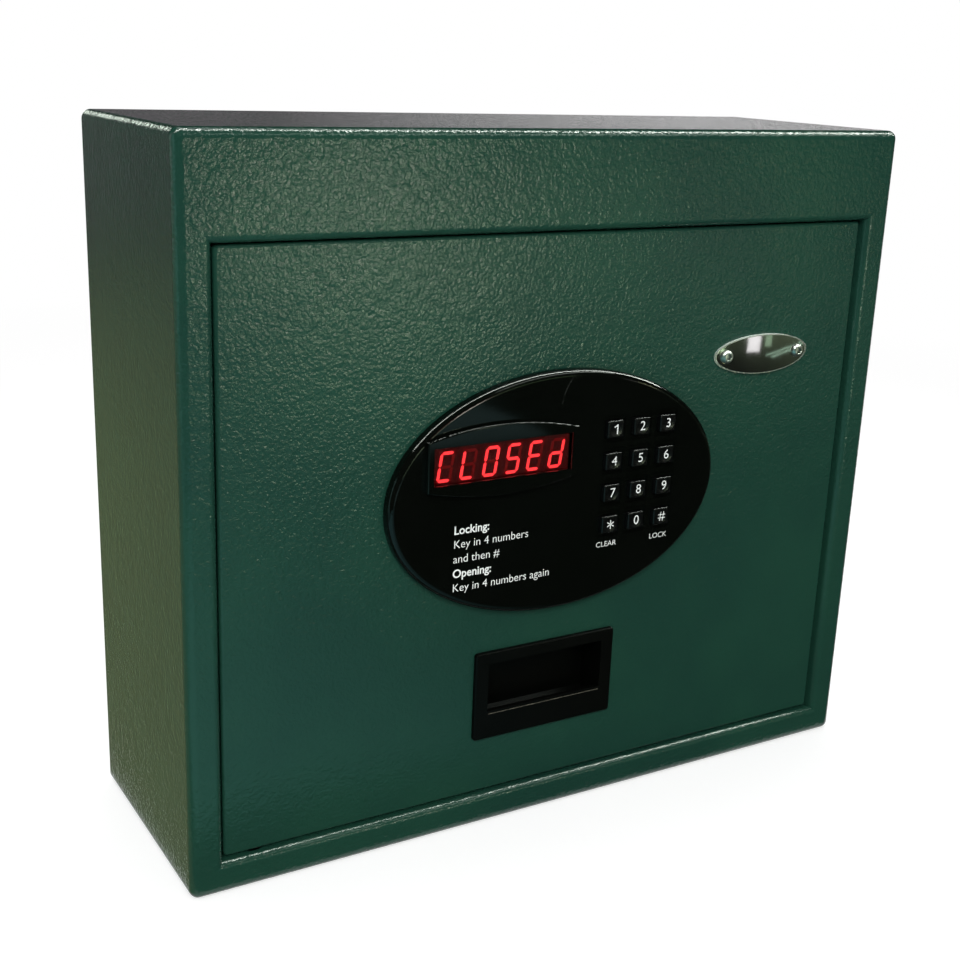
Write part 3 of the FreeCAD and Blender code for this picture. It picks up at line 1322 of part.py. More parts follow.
def motor_bracket():
    """An angle: the foot is on the door's face, and the leg passes the carriage's opening."""
    leg = motor_bracket_leg()
    t = MOTOR_BRACKET_SHEET
    reach = PINION_Y + MOTOR_DEPTH / 2 + t
    x0 = MOTOR_X - MOTOR_BRACKET_WIDTH / 2
    outline = [
        (DOOR_INSIDE, leg + t), (DOOR_INSIDE, leg + t - MOTOR_BRACKET_FOOT),
        (DOOR_INSIDE + t, leg + t - MOTOR_BRACKET_FOOT), (DOOR_INSIDE + t, leg),
        (reach, leg), (reach, leg + t),
    ]
    bracket = folded([Vector(x0, y, z) for y, z in outline], Vector(MOTOR_BRACKET_WIDTH, 0, 0))
    cuts = [rod_z(MOTOR_X, PINION_Y, SHAFT_DIAMETER / 2 + STUD_HOLE_CLEARANCE, leg - OVERCUT, leg + t + OVERCUT)]
    for x in motor_screw_places():
        radius = MOTOR_SCREW_DIAMETER / 2 + PIN_FIT
        cuts.append(rod_z(x, PINION_Y, radius, leg - OVERCUT, leg + t + OVERCUT))
    return bracket.cut(cuts)


def motor_screws():
    seat = motor_bracket_leg() + MOTOR_BRACKET_SHEET
    length = MOTOR_BRACKET_SHEET + MOTOR_SCREW_LENGTH - PIN_CHAMFER
    screws = [
        pan_screw(
            Vector(x, PINION_Y, seat), Vector(0, 0, 1), MOTOR_SCREW_DIAMETER, length,
            MOTOR_SCREW_HEAD, MOTOR_SCREW_RISE)
        for x in motor_screw_places()
    ]
    return Part.makeCompound(screws)


# Electronics and battery box


def spacer_places():
    dx = CONTROL_BOARD_WIDTH / 2 - SPACER_INSET
    dz = CONTROL_BOARD_HEIGHT / 2 - SPACER_INSET
    z = up(CONTROL_BOARD_UP)
    return [(CONTROL_BOARD_X + i * dx, z + j * dz) for i in (-1, 1) for j in (-1, 1)]


def control_board():
    """The board with its driver chip, relay, capacitor and plug header."""
    y0 = DOOR_INSIDE + SPACER_HEIGHT
    y1 = y0 + BOARD_THICKNESS
    x = CONTROL_BOARD_X
    z = up(CONTROL_BOARD_UP)
    board = plate(x, z, CONTROL_BOARD_WIDTH, CONTROL_BOARD_HEIGHT, BOARD_MARGIN, y0, y1)
    right = x + CONTROL_BOARD_WIDTH / 4
    left = x - CONTROL_BOARD_WIDTH / 3
    high = z + CONTROL_BOARD_HEIGHT / 4
    low = z - CONTROL_BOARD_HEIGHT / 6
    chip = centred_box(x - CHIP_WIDTH / 2, z, CHIP_WIDTH, CHIP_HEIGHT, y1, y1 + CHIP_THICKNESS)
    relay = centred_box(right, low, RELAY_WIDTH, RELAY_HEIGHT, y1, y1 + RELAY_THICKNESS)
    capacitor = rod_y(left, low, CAPACITOR_DIAMETER / 2, y1, y1 + CAPACITOR_LENGTH)
    header = centred_box(right, high, HEADER_WIDTH, HEADER_HEIGHT, y1, y1 + HEADER_THICKNESS)
    return Part.makeCompound([board, chip, relay, capacitor, header])


def board_spacers():
    spacers = [
        rod_y(x, z, SPACER_DIAMETER / 2, DOOR_INSIDE, DOOR_INSIDE + SPACER_HEIGHT)
        for x, z in spacer_places()
    ]
    return Part.makeCompound(spacers)


def box_inner_width():
    return CELL_COUNT * CELL_PITCH + 2 * CELL_CLEARANCE


def box_inner_height():
    return CELL_LENGTH + CELL_NUB + 2 * CONTACT_THICKNESS + 2 * CELL_CLEARANCE


def box_depth():
    return BOX_WALL + CELL_DIAMETER + 2 * CELL_CLEARANCE


def box_floor():
    """The Y of the battery box's outer floor, towards the door's face."""
    return DOOR_BACK + INNER_COVER_SHEET - box_depth()


def cell_places():
    first = BATTERY_X - (CELL_COUNT - 1) * CELL_PITCH / 2
    return [first + index * CELL_PITCH for index in range(CELL_COUNT)]


def cell_axis_y():
    return box_floor() + BOX_WALL + CELL_CLEARANCE + CELL_DIAMETER / 2


def battery_box():
    """A tray with a flange on the inner cover and a pair of rails for the lid."""
    z = up(BATTERY_UP)
    width = box_inner_width() + 2 * BOX_WALL
    height = box_inner_height() + 2 * BOX_WALL
    seat = DOOR_BACK + INNER_COVER_SHEET
    tray = centred_box(BATTERY_X, z, width, height, box_floor(), seat)
    flange = plate(
        BATTERY_X, z, width + 2 * BOX_FLANGE, height + 2 * BOX_FLANGE, BOX_FLANGE / 2,
        seat, RAIL_FRONT)
    lid_back = RAIL_FRONT + LID_THICKNESS + 2 * LID_PLAY
    parts = [flange]
    for side in (-1, 1):
        inner = BATTERY_X + side * (lid_width() / 2 + LID_PLAY)
        outer = inner + side * LID_RAIL_WALL
        lip = inner - side * LID_RAIL_LIP
        low = z - height / 2
        high = z + height / 2
        parts.append(box(min(inner, outer), max(inner, outer), RAIL_FRONT, lid_back + LID_RAIL_THICKNESS, low, high))
        parts.append(box(min(lip, outer), max(lip, outer), lid_back, lid_back + LID_RAIL_THICKNESS, low, high))
    stop_top = z - height / 2
    parts.append(centred_box(
        BATTERY_X, stop_top - LID_RAIL_WALL / 2, lid_width(), LID_RAIL_WALL,
        RAIL_FRONT, RAIL_FRONT + LID_THICKNESS))
    hollow = centred_box(
        BATTERY_X, z, box_inner_width(), box_inner_height(), box_floor() + BOX_WALL, RAIL_FRONT + OVERCUT)
    return tray.fuse(parts).removeSplitter().cut(hollow)


def lid_width():
    return box_inner_width() + 2 * BOX_WALL


def battery_lid():
    """A flat lid in the rails, with grip ridges near its lower end."""
    z = up(BATTERY_UP)
    height = box_inner_height() + 2 * BOX_WALL - LID_PLAY
    y0 = RAIL_FRONT + LID_PLAY
    lid = centred_box(BATTERY_X, z + LID_PLAY / 2, lid_width(), height, y0, y0 + LID_THICKNESS)
    grooves = []
    for index in range(LID_GRIP_COUNT):
        level = z - height / 2 + (index + 2) * LID_GRIP_PITCH
        grooves.append(centred_box(
            BATTERY_X, level, LID_GRIP_WIDTH, LID_GRIP_PITCH / 2,
            y0 + LID_THICKNESS - LID_GRIP_DEPTH, y0 + LID_THICKNESS + OVERCUT))
    return lid.cut(grooves)


def batteries():
    """Four cells side by side, turned end for end in turn."""
    cells = []
    length = CELL_LENGTH + CELL_NUB
    for index, x in enumerate(cell_places()):
        direction = 1 if index % 2 == 0 else -1
        foot = Vector(x, cell_axis_y(), up(BATTERY_UP) - direction * length / 2)
        outline = [
            (0, 0),
            (CELL_DIAMETER / 2, 0),
            (CELL_DIAMETER / 2, CELL_LENGTH),
            (CELL_NUB_DIAMETER / 2, CELL_LENGTH),
            (CELL_NUB_DIAMETER / 2, length),
            (0, length),
        ]
        cells.append(turned(outline, foot, Vector(0, 0, direction)))
    return Part.makeCompound(cells)


def battery_contacts():
    """A thin plate at each end of each cell."""
    plates = []
    offset = box_inner_height() / 2 - CONTACT_THICKNESS / 2
    for x in cell_places():
        for side in (-1, 1):
            plates.append(centred_box(
                x, up(BATTERY_UP) + side * offset, CONTACT_WIDTH, CONTACT_THICKNESS,
                cell_axis_y() - CONTACT_WIDTH / 2, cell_axis_y() + CONTACT_WIDTH / 2))
    return Part.makeCompound(plates)


# Inner cover


def inner_cover():
    middle = (DOOR_BOTTOM + DOOR_TOP) / 2
    y0 = DOOR_BACK
    y1 = DOOR_BACK + INNER_COVER_SHEET
    cover = plate(
        0, middle, DOOR_WIDTH - 2 * INNER_COVER_MARGIN,
        DOOR_TOP - DOOR_BOTTOM - 2 * INNER_COVER_MARGIN, INNER_COVER_CORNER, y0, y1)
    cuts = [centred_box(
        BATTERY_X, up(BATTERY_UP), box_inner_width() + 2 * (BOX_WALL + INNER_COVER_FIT),
        box_inner_height() + 2 * (BOX_WALL + INNER_COVER_FIT), y0 - OVERCUT, y1 + OVERCUT)]
    for x, z in inner_cover_screw_places():
        cuts.append(rod_y(x, z, COVER_FIXING_DIAMETER / 2 + STUD_HOLE_CLEARANCE, y0 - OVERCUT, y1 + OVERCUT))
    return cover.cut(cuts)


def inner_cover_screws():
    seat = DOOR_BACK + INNER_COVER_SHEET
    screws = [
        pan_screw(
            Vector(x, seat, z), Vector(0, 1, 0), COVER_FIXING_DIAMETER, COVER_FIXING_LENGTH,
            COVER_FIXING_HEAD, COVER_FIXING_RISE)
        for x, z in inner_cover_screw_places()
    ]
    return Part.makeCompound(screws)


def all_nodes():
    lower, upper = bolt_heights()
    nodes = {
        "cabinet_shell": cabinet_shell(),
        "back_panel": back_panel(),
        "floor_mat": floor_mat(),
        "hinge_block_lower": hinge_block_lower(),
        "hinge_block_upper": hinge_block_upper(),
        "hinge_pin_lower": hinge_pin_lower(),
        "hinge_pin_upper": hinge_pin_upper(),
        "hinge_washer": hinge_washer(),
        "hinge_bush_lower": hinge_bush(DOOR_BOTTOM, 1),
        "hinge_bush_upper": hinge_bush(DOOR_TOP, -1),
        "door_pan": door_pan(),
        "control_panel": control_panel(),
        "display_window": display_window(),
        "display_module": display_module(),
        "keypad_board": keypad_board(),
        "board_screws": board_screws(),
        "panel_nuts": panel_nuts(),
        "pull_cup": pull_cup(),
        "pull_nuts": pull_nuts(),
        "override_cover_plate": override_cover_plate(),
        "cover_screws": cover_screws(),
        "lock_bracket": lock_bracket(),
        "lock_barrel": lock_barrel(),
        "lock_nut": lock_nut(),
        "lock_plug": lock_plug(),
        "lock_cam": lock_cam(),
        "cam_screw": cam_screw(),
        "bolt_carriage": bolt_carriage(),
        "bolt_lower": bolt(lower),
        "bolt_upper": bolt(upper),
        "bolt_guides": bolt_guides(),
        "guide_studs": guide_studs(),
        "guide_nuts": guide_nuts(),
        "drive_rack": drive_rack(),
        "drive_pinion": drive_pinion(),
        "motor_shaft": motor_shaft(),
        "gear_motor": gear_motor(),
        "motor_bracket": motor_bracket(),
        "motor_screws": motor_screws(),
        "control_board": control_board(),
        "board_spacers": board_spacers(),
        "battery_box": battery_box(),
        "battery_contacts": battery_contacts(),
        "batteries": batteries(),
        "battery_lid": battery_lid(),
        "inner_cover": inner_cover(),
        "inner_cover_screws": inner_cover_screws(),
    }
    legends = ["1", "2", "3", "4", "5", "6", "7", "8", "9", "star", "0", "hash"]
    for legend, (_, _, x, z) in zip(legends, key_places()):
        nodes["key_" + legend] = key(x, z)
    return nodes


os.makedirs("parts", exist_ok=True)
for name, shape in all_nodes().items():
    shape.exportStep(os.path.join("parts", name + ".step"))
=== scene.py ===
import math

import bmesh
import bpy
from mathutils import Matrix, Vector


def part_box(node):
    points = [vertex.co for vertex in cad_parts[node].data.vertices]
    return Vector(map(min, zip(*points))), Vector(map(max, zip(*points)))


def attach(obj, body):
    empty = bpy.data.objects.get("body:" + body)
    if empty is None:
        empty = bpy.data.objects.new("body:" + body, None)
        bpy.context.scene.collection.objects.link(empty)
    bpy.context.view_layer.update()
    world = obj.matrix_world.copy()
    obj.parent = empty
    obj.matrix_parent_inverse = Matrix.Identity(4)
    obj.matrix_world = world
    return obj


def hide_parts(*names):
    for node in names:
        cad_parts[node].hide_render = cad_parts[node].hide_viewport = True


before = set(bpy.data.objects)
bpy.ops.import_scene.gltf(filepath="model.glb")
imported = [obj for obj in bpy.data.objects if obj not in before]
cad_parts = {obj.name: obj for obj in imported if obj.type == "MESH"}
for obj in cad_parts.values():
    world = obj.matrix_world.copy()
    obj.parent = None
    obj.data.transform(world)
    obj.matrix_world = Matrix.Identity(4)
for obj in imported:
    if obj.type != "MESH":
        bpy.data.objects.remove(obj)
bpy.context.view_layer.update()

MM = 0.001

# Where things are, in millimetres of the frame: X right, Y back, Z up
BASE_Z = -156.25
FRONT_Y = -115.6
DOOR_FACE_Y = -112.0
PANEL_FACE_Y = -117.0
KEY_FACE_Y = -118.8
LOCK_X = 107.2
LOCK_Z = 53.75
SCRATCH_X = -6.0
SCRATCH_UP = 203.0
SCRATCH_BEND = 30.0


def up(height):
    """The Z, in millimetres, of a point this far above the underside of the cabinet."""
    return BASE_Z + height


# Camera, at the photograph's place and angle

CAMERA_PLACE = Vector((-0.342999, -0.606335, 0.185839))
CAMERA_AIM = Vector((0.494111, 0.818939, -0.291880))
CAMERA_ROLL = 2.2091
FOCAL_PIXELS = 1409.3
IMAGE_PIXELS = 960
SENSOR = 36.0


def make_camera():
    camera = bpy.data.objects.new("camera", bpy.data.cameras.new("camera"))
    bpy.context.scene.collection.objects.link(camera)
    turn = CAMERA_AIM.to_track_quat("-Z", "Y").to_matrix().to_4x4()
    roll = Matrix.Rotation(math.radians(CAMERA_ROLL), 4, "Z")
    camera.matrix_world = Matrix.Translation(CAMERA_PLACE) @ turn @ roll
    camera.data.sensor_width = SENSOR
    camera.data.lens = FOCAL_PIXELS / IMAGE_PIXELS * SENSOR
    camera.data.clip_start = 0.01
    camera.data.clip_end = 50
    bpy.context.scene.camera = camera


# Material helpers


class Nodes:
    """A material's node tree, with short calls for the nodes used here."""

    def __init__(self, name):
        self.material = bpy.data.materials.new(name)
        self.material.use_nodes = True
        self.tree = self.material.node_tree
        self.tree.nodes.clear()
        self.output = self.add("ShaderNodeOutputMaterial")

    def add(self, kind, **settings):
        node = self.tree.nodes.new(kind)
        for key, value in settings.items():
            setattr(node, key, value)
        return node

    def link(self, source, target):
        self.tree.links.new(source, target)

    def place(self):
        return self.add("ShaderNodeTexCoord").outputs["Object"]

    def noise(self, scale, detail=2.0, rough=0.5, stretch=None, distortion=0.0):
        node = self.add("ShaderNodeTexNoise")
        node.inputs["Scale"].default_value = scale
        node.inputs["Detail"].default_value = detail
        node.inputs["Roughness"].default_value = rough
        node.inputs["Distortion"].default_value = distortion
        where = self.place()
        if stretch:
            mapping = self.add("ShaderNodeMapping")
            mapping.inputs["Scale"].default_value = stretch
            self.link(where, mapping.inputs["Vector"])
            where = mapping.outputs["Vector"]
        self.link(where, node.inputs["Vector"])
        return node.outputs["Fac"]

    def voronoi(self, scale, feature="F1"):
        node = self.add("ShaderNodeTexVoronoi", feature=feature)
        node.inputs["Scale"].default_value = scale
        self.link(self.place(), node.inputs["Vector"])
        return node.outputs["Distance"]

    def number(self, source, low, high, to_low, to_high):
        node = self.add("ShaderNodeMapRange")
        for name, value in zip(("From Min", "From Max", "To Min", "To Max"), (low, high, to_low, to_high)):
            node.inputs[name].default_value = value
        self.link(source, node.inputs["Value"])
        return node.outputs["Result"]

    def math(self, operation, a, b=None):
        node = self.add("ShaderNodeMath", operation=operation)
        for index, value in enumerate((a, b)):
            if value is None:
                continue
            if isinstance(value, (int, float)):
                node.inputs[index].default_value = value
            else:
                self.link(value, node.inputs[index])
        return node.outputs["Value"]

    def mix(self, factor, a, b):
        node = self.add("ShaderNodeMix", data_type="RGBA")
        for socket, value in zip((node.inputs[0], node.inputs[6], node.inputs[7]), (factor, a, b)):
            if isinstance(value, (int, float)):
                socket.default_value = value
            elif isinstance(value, tuple):
                socket.default_value = (*value, 1.0)
            else:
                self.link(value, socket)
        return node.outputs[2]

    def bump(self, height, distance, strength=1.0, under=None):
        node = self.add("ShaderNodeBump")
        node.inputs["Strength"].default_value = strength
        node.inputs["Distance"].default_value = distance
        self.link(height, node.inputs["Height"])
        if under:
            self.link(under, node.inputs["Normal"])
        return node.outputs["Normal"]

    def surface(self, colour, rough, normal=None, **sockets):
        shader = self.add("ShaderNodeBsdfPrincipled")
        for name, value in (("Base Color", colour), ("Roughness", rough)):
            if isinstance(value, tuple):
                shader.inputs[name].default_value = (*value, 1.0)
            elif isinstance(value, (int, float)):
                shader.inputs[name].default_value = value
            else:
                self.link(value, shader.inputs[name])
        if normal:
            self.link(normal, shader.inputs["Normal"])
        for name, value in sockets.items():
            shader.inputs[name.replace("_", " ")].default_value = value
        self.link(shader.outputs[0], self.output.inputs["Surface"])
        return self.material


def linear(red, green, blue):
    """A colour as the renderer wants it, from 0-255 screen values."""
    return tuple((c / 255 / 12.92) if c <= 10 else ((c / 255 + 0.055) / 1.055) ** 2.4 for c in (red, green, blue))


# Materials

def powder_coat(name, colour, dark, rough=0.18):
    """Textured enamel: a fine leathery grain, about a millimetre across, over sheet steel."""
    n = Nodes(name)
    tone = n.number(n.noise(14, 3), 0.35, 0.65, 0, 1)
    paint = n.mix(tone, dark, colour)
    wrinkle = n.noise(680, 1.0, 0.5, distortion=0.35)
    slow = n.noise(260, 1.5, distortion=0.3)
    normal = n.bump(slow, 0.0002)
    normal = n.bump(wrinkle, 0.00022, under=normal)
    shine = n.number(wrinkle, 0.3, 0.7, rough * 0.8, rough * 1.25)
    return n.surface(paint, shine, normal, Specular_IOR_Level=0.35)


def plastic(name, colour, rough, grain_scale, grain_depth, specular=0.5, wear_and_painted_highlight=None):
    """Moulded plastic with a spark-eroded or polished skin."""
    n = Nodes(name)
    tone = n.number(n.noise(45, 3), 0.3, 0.7, 0, 1)
    base = n.mix(tone, colour, wear_and_painted_highlight or tuple(c * 1.35 for c in colour))
    normal = n.bump(n.noise(grain_scale, 2), grain_depth)
    shine = n.number(n.noise(120, 3), 0.3, 0.7, rough * 0.85, rough * 1.15)
    return n.surface(base, shine, normal, Specular_IOR_Level=specular)


def metal(name, colour, rough, stretch=(1, 1, 1), scale=900, depth=0.00001, tint=None):
    """Plated or bare metal with a fine directional finish."""
    n = Nodes(name)
    tone = n.number(n.noise(60, 3), 0.35, 0.65, 0, 1)
    base = n.mix(tone, colour, tint or tuple(c * 0.85 for c in colour))
    grain = n.noise(scale, 2, stretch=stretch)
    shine = n.number(n.noise(scale * 0.4, 2, stretch=stretch), 0.3, 0.7, rough * 0.8, rough * 1.25)
    return n.surface(base, shine, n.bump(grain, depth), Metallic=1.0)


def circuit_board(name, face_y):
    """Green board below the plane face_y, and dark component tops above it."""
    n = Nodes(name)
    split = n.add("ShaderNodeSeparateXYZ")
    n.link(n.place(), split.inputs[0])
    is_part = n.math("GREATER_THAN", split.outputs["Y"], face_y)
    tracks = n.number(n.voronoi(260, "DISTANCE_TO_EDGE"), 0.04, 0.08, 1, 0)
    board = n.mix(tracks, linear(16, 70, 38), linear(28, 104, 56))
    base = n.mix(is_part, board, linear(24, 24, 26))
    return n.surface(base, 0.38, n.bump(tracks, 0.00002))


def make_materials():
    made = {
        "enamel": powder_coat("enamel", linear(27, 63, 50), linear(24, 57, 47)),
        "gloss_black": gloss_black(),
        "satin_black": plastic("satin_black", linear(6, 7, 6), 0.3, 1500, 0.00002, 0.2),
        "pull_black": pull_black(),
        "key_black": plastic("key_black", linear(7, 8, 8), 0.2, 900, 0.000005, 0.28),
        "chrome": rimmed_chrome(),
        "screw_steel": metal("screw_steel", linear(214, 218, 212), 0.34, depth=0.000004),
        "bright_steel": metal("bright_steel", linear(205, 207, 208), 0.2, stretch=(0.1, 1, 1)),
        "black_oxide": metal("black_oxide", linear(34, 34, 36), 0.4, tint=linear(26, 26, 28)),
        "zinc": metal("zinc", linear(178, 182, 184), 0.36, tint=linear(150, 156, 162)),
        "plain_steel": metal("plain_steel", linear(150, 152, 155), 0.42),
        "nickel": metal("nickel", linear(196, 194, 188), 0.26),
        "brass": metal("brass", linear(214, 178, 96), 0.26),
        "acetal": plastic("acetal", linear(214, 212, 200), 0.42, 700, 0.00001),
        "felt": plastic("felt", linear(52, 54, 56), 0.95, 1400, 0.0003, 0.1),
        "module": plastic("module", linear(20, 2, 4), 0.5, 500, 0.00001, 0.2),
        "glow": digit_glow(),
        "switch_black": plastic("switch_black", linear(24, 24, 26), 0.45, 700, 0.00001),
        "board": circuit_board("board", -0.10337),
        "keypad_board": circuit_board("keypad_board_face", -0.0),
        "legend": plastic("legend", linear(232, 236, 232), 0.5, 400, 0.00001, 0.3, linear(222, 228, 224)),
        "cell_wrap": cell_wrap(),
        "window": red_window(),
        "lit": lit_segment(),
        "unlit": stray_lit(),
    }
    return made


def cell_wrap():
    """A plain dark sleeve with a lighter band near one end."""
    n = Nodes("cell_wrap")
    split = n.add("ShaderNodeSeparateXYZ")
    n.link(n.place(), split.inputs[0])
    band = n.math("GREATER_THAN", split.outputs["Z"], up(112) * MM)
    base = n.mix(band, linear(28, 34, 44), linear(176, 128, 60))
    return n.surface(base, 0.3, n.bump(n.noise(500, 2), 0.00001))


def gloss_black():
    """Polished black moulding, with hairline wear from wiping and one faint curved scratch."""
    n = Nodes("gloss_black")
    tone = n.number(n.noise(30, 3), 0.3, 0.7, 0, 1)
    split = n.add("ShaderNodeSeparateXYZ")
    n.link(n.place(), split.inputs[0])
    across = n.math("SUBTRACT", split.outputs["X"], SCRATCH_X * MM)
    rise = n.math("SUBTRACT", split.outputs["Z"], up(SCRATCH_UP) * MM)
    bend = n.math("MULTIPLY", n.math("MULTIPLY", rise, rise), SCRATCH_BEND)
    off = n.math("ABSOLUTE", n.math("SUBTRACT", n.math("SUBTRACT", across, n.math("MULTIPLY", rise, 0.45)), bend))
    near = n.number(off, 0.0001, 0.0005, 1, 0)
    inside = n.number(n.math("ABSOLUTE", rise), 0.004, 0.007, 1, 0)
    wear_and_painted_highlight = n.math("MULTIPLY", n.math("MULTIPLY", near, inside), n.number(n.noise(900, 2), 0.35, 0.65, 0.1, 0.7))
    base = n.mix(tone, linear(4, 6, 4), linear(6, 8, 6))
    base = n.mix(wear_and_painted_highlight, base, linear(44, 47, 44))
    hair = n.noise(240, 2, stretch=(0.15, 1, 1))
    shine = n.number(hair, 0.35, 0.75, 0.05, 0.085)
    shader = n.surface(base, shine, n.bump(n.noise(25, 1), 0.00003), Specular_IOR_Level=0.3)
    return shader


RIM_FROM = 0.955


def rimmed_chrome():
    """Mirror chrome on the cover plate, satin along its rolled rim."""
    n = Nodes("chrome")
    split = n.add("ShaderNodeSeparateXYZ")
    n.link(n.place(), split.inputs[0])
    low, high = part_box("override_cover_plate")
    parts = []
    for axis, a, b in (("X", low.x, high.x), ("Z", low.z, high.z)):
        part = n.math("DIVIDE", n.math("SUBTRACT", split.outputs[axis], (a + b) / 2), (b - a) / 2)
        parts.append(n.math("MULTIPLY", part, part))
    away = n.math("SQRT", n.math("ADD", *parts))
    rim = n.number(away, RIM_FROM, RIM_FROM + 0.01, 0, 1)
    tone = n.number(n.noise(60, 3), 0.35, 0.65, 0, 1)
    base = n.mix(tone, linear(226, 228, 228), linear(208, 210, 210))
    shine = n.number(n.noise(360, 2), 0.3, 0.7, 0.05, 0.07)
    shine = n.math("ADD", shine, n.math("MULTIPLY", rim, 0.5))
    return n.surface(base, shine, n.bump(n.noise(900, 2), 0.000002), Metallic=1.0)


# Height and width, in millimetres, of the painted highlight along the pull's lip
LIP_HIGHLIGHT_Z = -101.9
LIP_HIGHLIGHT_WIDTH = 0.34


def pull_black():
    """Satin black moulding, with a painted highlight: a thin pale line along the edge of its lip, standing in for
    the light that edge catches.
    """
    n = Nodes("pull_black")
    tone = n.number(n.noise(45, 3), 0.3, 0.7, 0, 1)
    split = n.add("ShaderNodeSeparateXYZ")
    n.link(n.place(), split.inputs[0])
    low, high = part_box("pull_cup")
    half = (high.x - low.x) / 2 - 0.0073
    # Painted highlight: a thin pale line along the front edge of the lip, where its rounded edge would catch light
    off = n.math("ABSOLUTE", n.math("SUBTRACT", split.outputs["Z"], (LIP_HIGHLIGHT_Z + LIP_HIGHLIGHT_WIDTH / 2) * MM))
    line = n.math("LESS_THAN", off, LIP_HIGHLIGHT_WIDTH / 2 * MM)
    line = n.math("MULTIPLY", line, n.math("LESS_THAN", split.outputs["Y"], low.y + 0.0002))
    span = n.math("ABSOLUTE", n.math("SUBTRACT", split.outputs["X"], (low.x + high.x) / 2))
    line = n.math("MULTIPLY", line, n.math("LESS_THAN", span, half))
    wear_and_painted_highlight = n.math("MULTIPLY", line, n.number(n.noise(600, 2), 0.3, 0.7, 0.4, 1.0))
    base = n.mix(tone, linear(4, 5, 4), linear(6, 7, 6))
    base = n.mix(wear_and_painted_highlight, base, linear(98, 96, 84))
    return n.surface(base, 0.36, n.bump(n.noise(1500, 2), 0.00002), Specular_IOR_Level=0.1)


def red_window():
    """Clear dark red acrylic, with a painted highlight: its lowest strip is plain grey, standing in for the light
    its lower edge catches.
    """
    n = Nodes("window")
    haze = n.number(n.noise(200, 2), 0.3, 0.7, 0.015, 0.035)
    tint = n.mix(n.number(n.noise(30, 1), 0.3, 0.7, 0, 1), (0.80, 0.30, 0.28), (0.76, 0.28, 0.26))
    n.surface(tint, haze, n.bump(n.noise(80, 1), 0.000004), Transmission_Weight=1.0, IOR=1.15)
    clear = n.output.inputs["Surface"].links[0].from_socket
    split = n.add("ShaderNodeSeparateXYZ")
    n.link(n.place(), split.inputs[0])
    # Painted highlight: plain grey along the lower edge, in place of the light that edge catches
    n.surface((0.16, 0.15, 0.145), 0.4)
    painted_edge_highlight = n.output.inputs["Surface"].links[0].from_socket
    chosen = n.add("ShaderNodeMixShader")
    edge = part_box("display_window")[0].z + WINDOW_EDGE_HIGHLIGHT * MM
    n.link(n.math("LESS_THAN", split.outputs["Z"], edge), chosen.inputs[0])
    n.link(clear, chosen.inputs[1])
    n.link(painted_edge_highlight, chosen.inputs[2])
    n.link(chosen.outputs[0], n.output.inputs["Surface"])
    return n.material


def digit_glow():
    """The block's face: its glow is strong beside a lit segment and fades within a few millimetres."""
    n = Nodes("glow")
    light = n.add("ShaderNodeAttribute", attribute_name="glow").outputs["Fac"]
    grain = n.number(n.noise(700, 2), 0.3, 0.7, 0.85, 1.1)
    colour = n.mix(light, (0.5, 0.0, 0.02), (1.0, 0.01, 0.02))
    shader = n.add("ShaderNodeBsdfPrincipled")
    shader.inputs["Base Color"].default_value = (0.004, 0.0005, 0.001, 1)
    shader.inputs["Roughness"].default_value = 0.6
    n.link(colour, shader.inputs["Emission Color"])
    n.link(n.math("MULTIPLY", light, grain), shader.inputs["Emission Strength"])
    n.link(shader.outputs[0], n.output.inputs["Surface"])
    return n.material


def lit_segment():
    """A lit segment: orange in its middle, red towards its edges."""
    n = Nodes("lit")
    heat = n.add("ShaderNodeAttribute", attribute_name="heat").outputs["Fac"]
    speckle = n.number(n.noise(900, 2), 0.3, 0.7, 0.8, 1.1)
    glow = n.mix(n.math("MULTIPLY", heat, speckle), (1.0, 0.10, 0.12), (1.0, 1.0, 0.9))
    shader = n.add("ShaderNodeBsdfPrincipled")
    shader.inputs["Base Color"].default_value = (0.3, 0.01, 0.01, 1)
    shader.inputs["Roughness"].default_value = 0.5
    n.link(glow, shader.inputs["Emission Color"])
    shader.inputs["Emission Strength"].default_value = 2.0
    n.link(shader.outputs[0], n.output.inputs["Surface"])
    return n.material


def stray_lit():
    """An unlit segment, faintly red with the light that strays from its neighbours."""
    n = Nodes("unlit")
    tone = n.number(n.noise(400, 2), 0.3, 0.7, 0.8, 1.1)
    shader = n.add("ShaderNodeBsdfPrincipled")
    shader.inputs["Base Color"].default_value = (*linear(70, 8, 12), 1)
    shader.inputs["Roughness"].default_value = 0.5
    n.link(n.mix(tone, (0, 0, 0), (1.0, 0.03, 0.05)), shader.inputs["Emission Color"])
    shader.inputs["Emission Strength"].default_value = UNLIT_GLOW
    n.link(shader.outputs[0], n.output.inputs["Surface"])
    return n.material


UNLIT_GLOW = 0.05
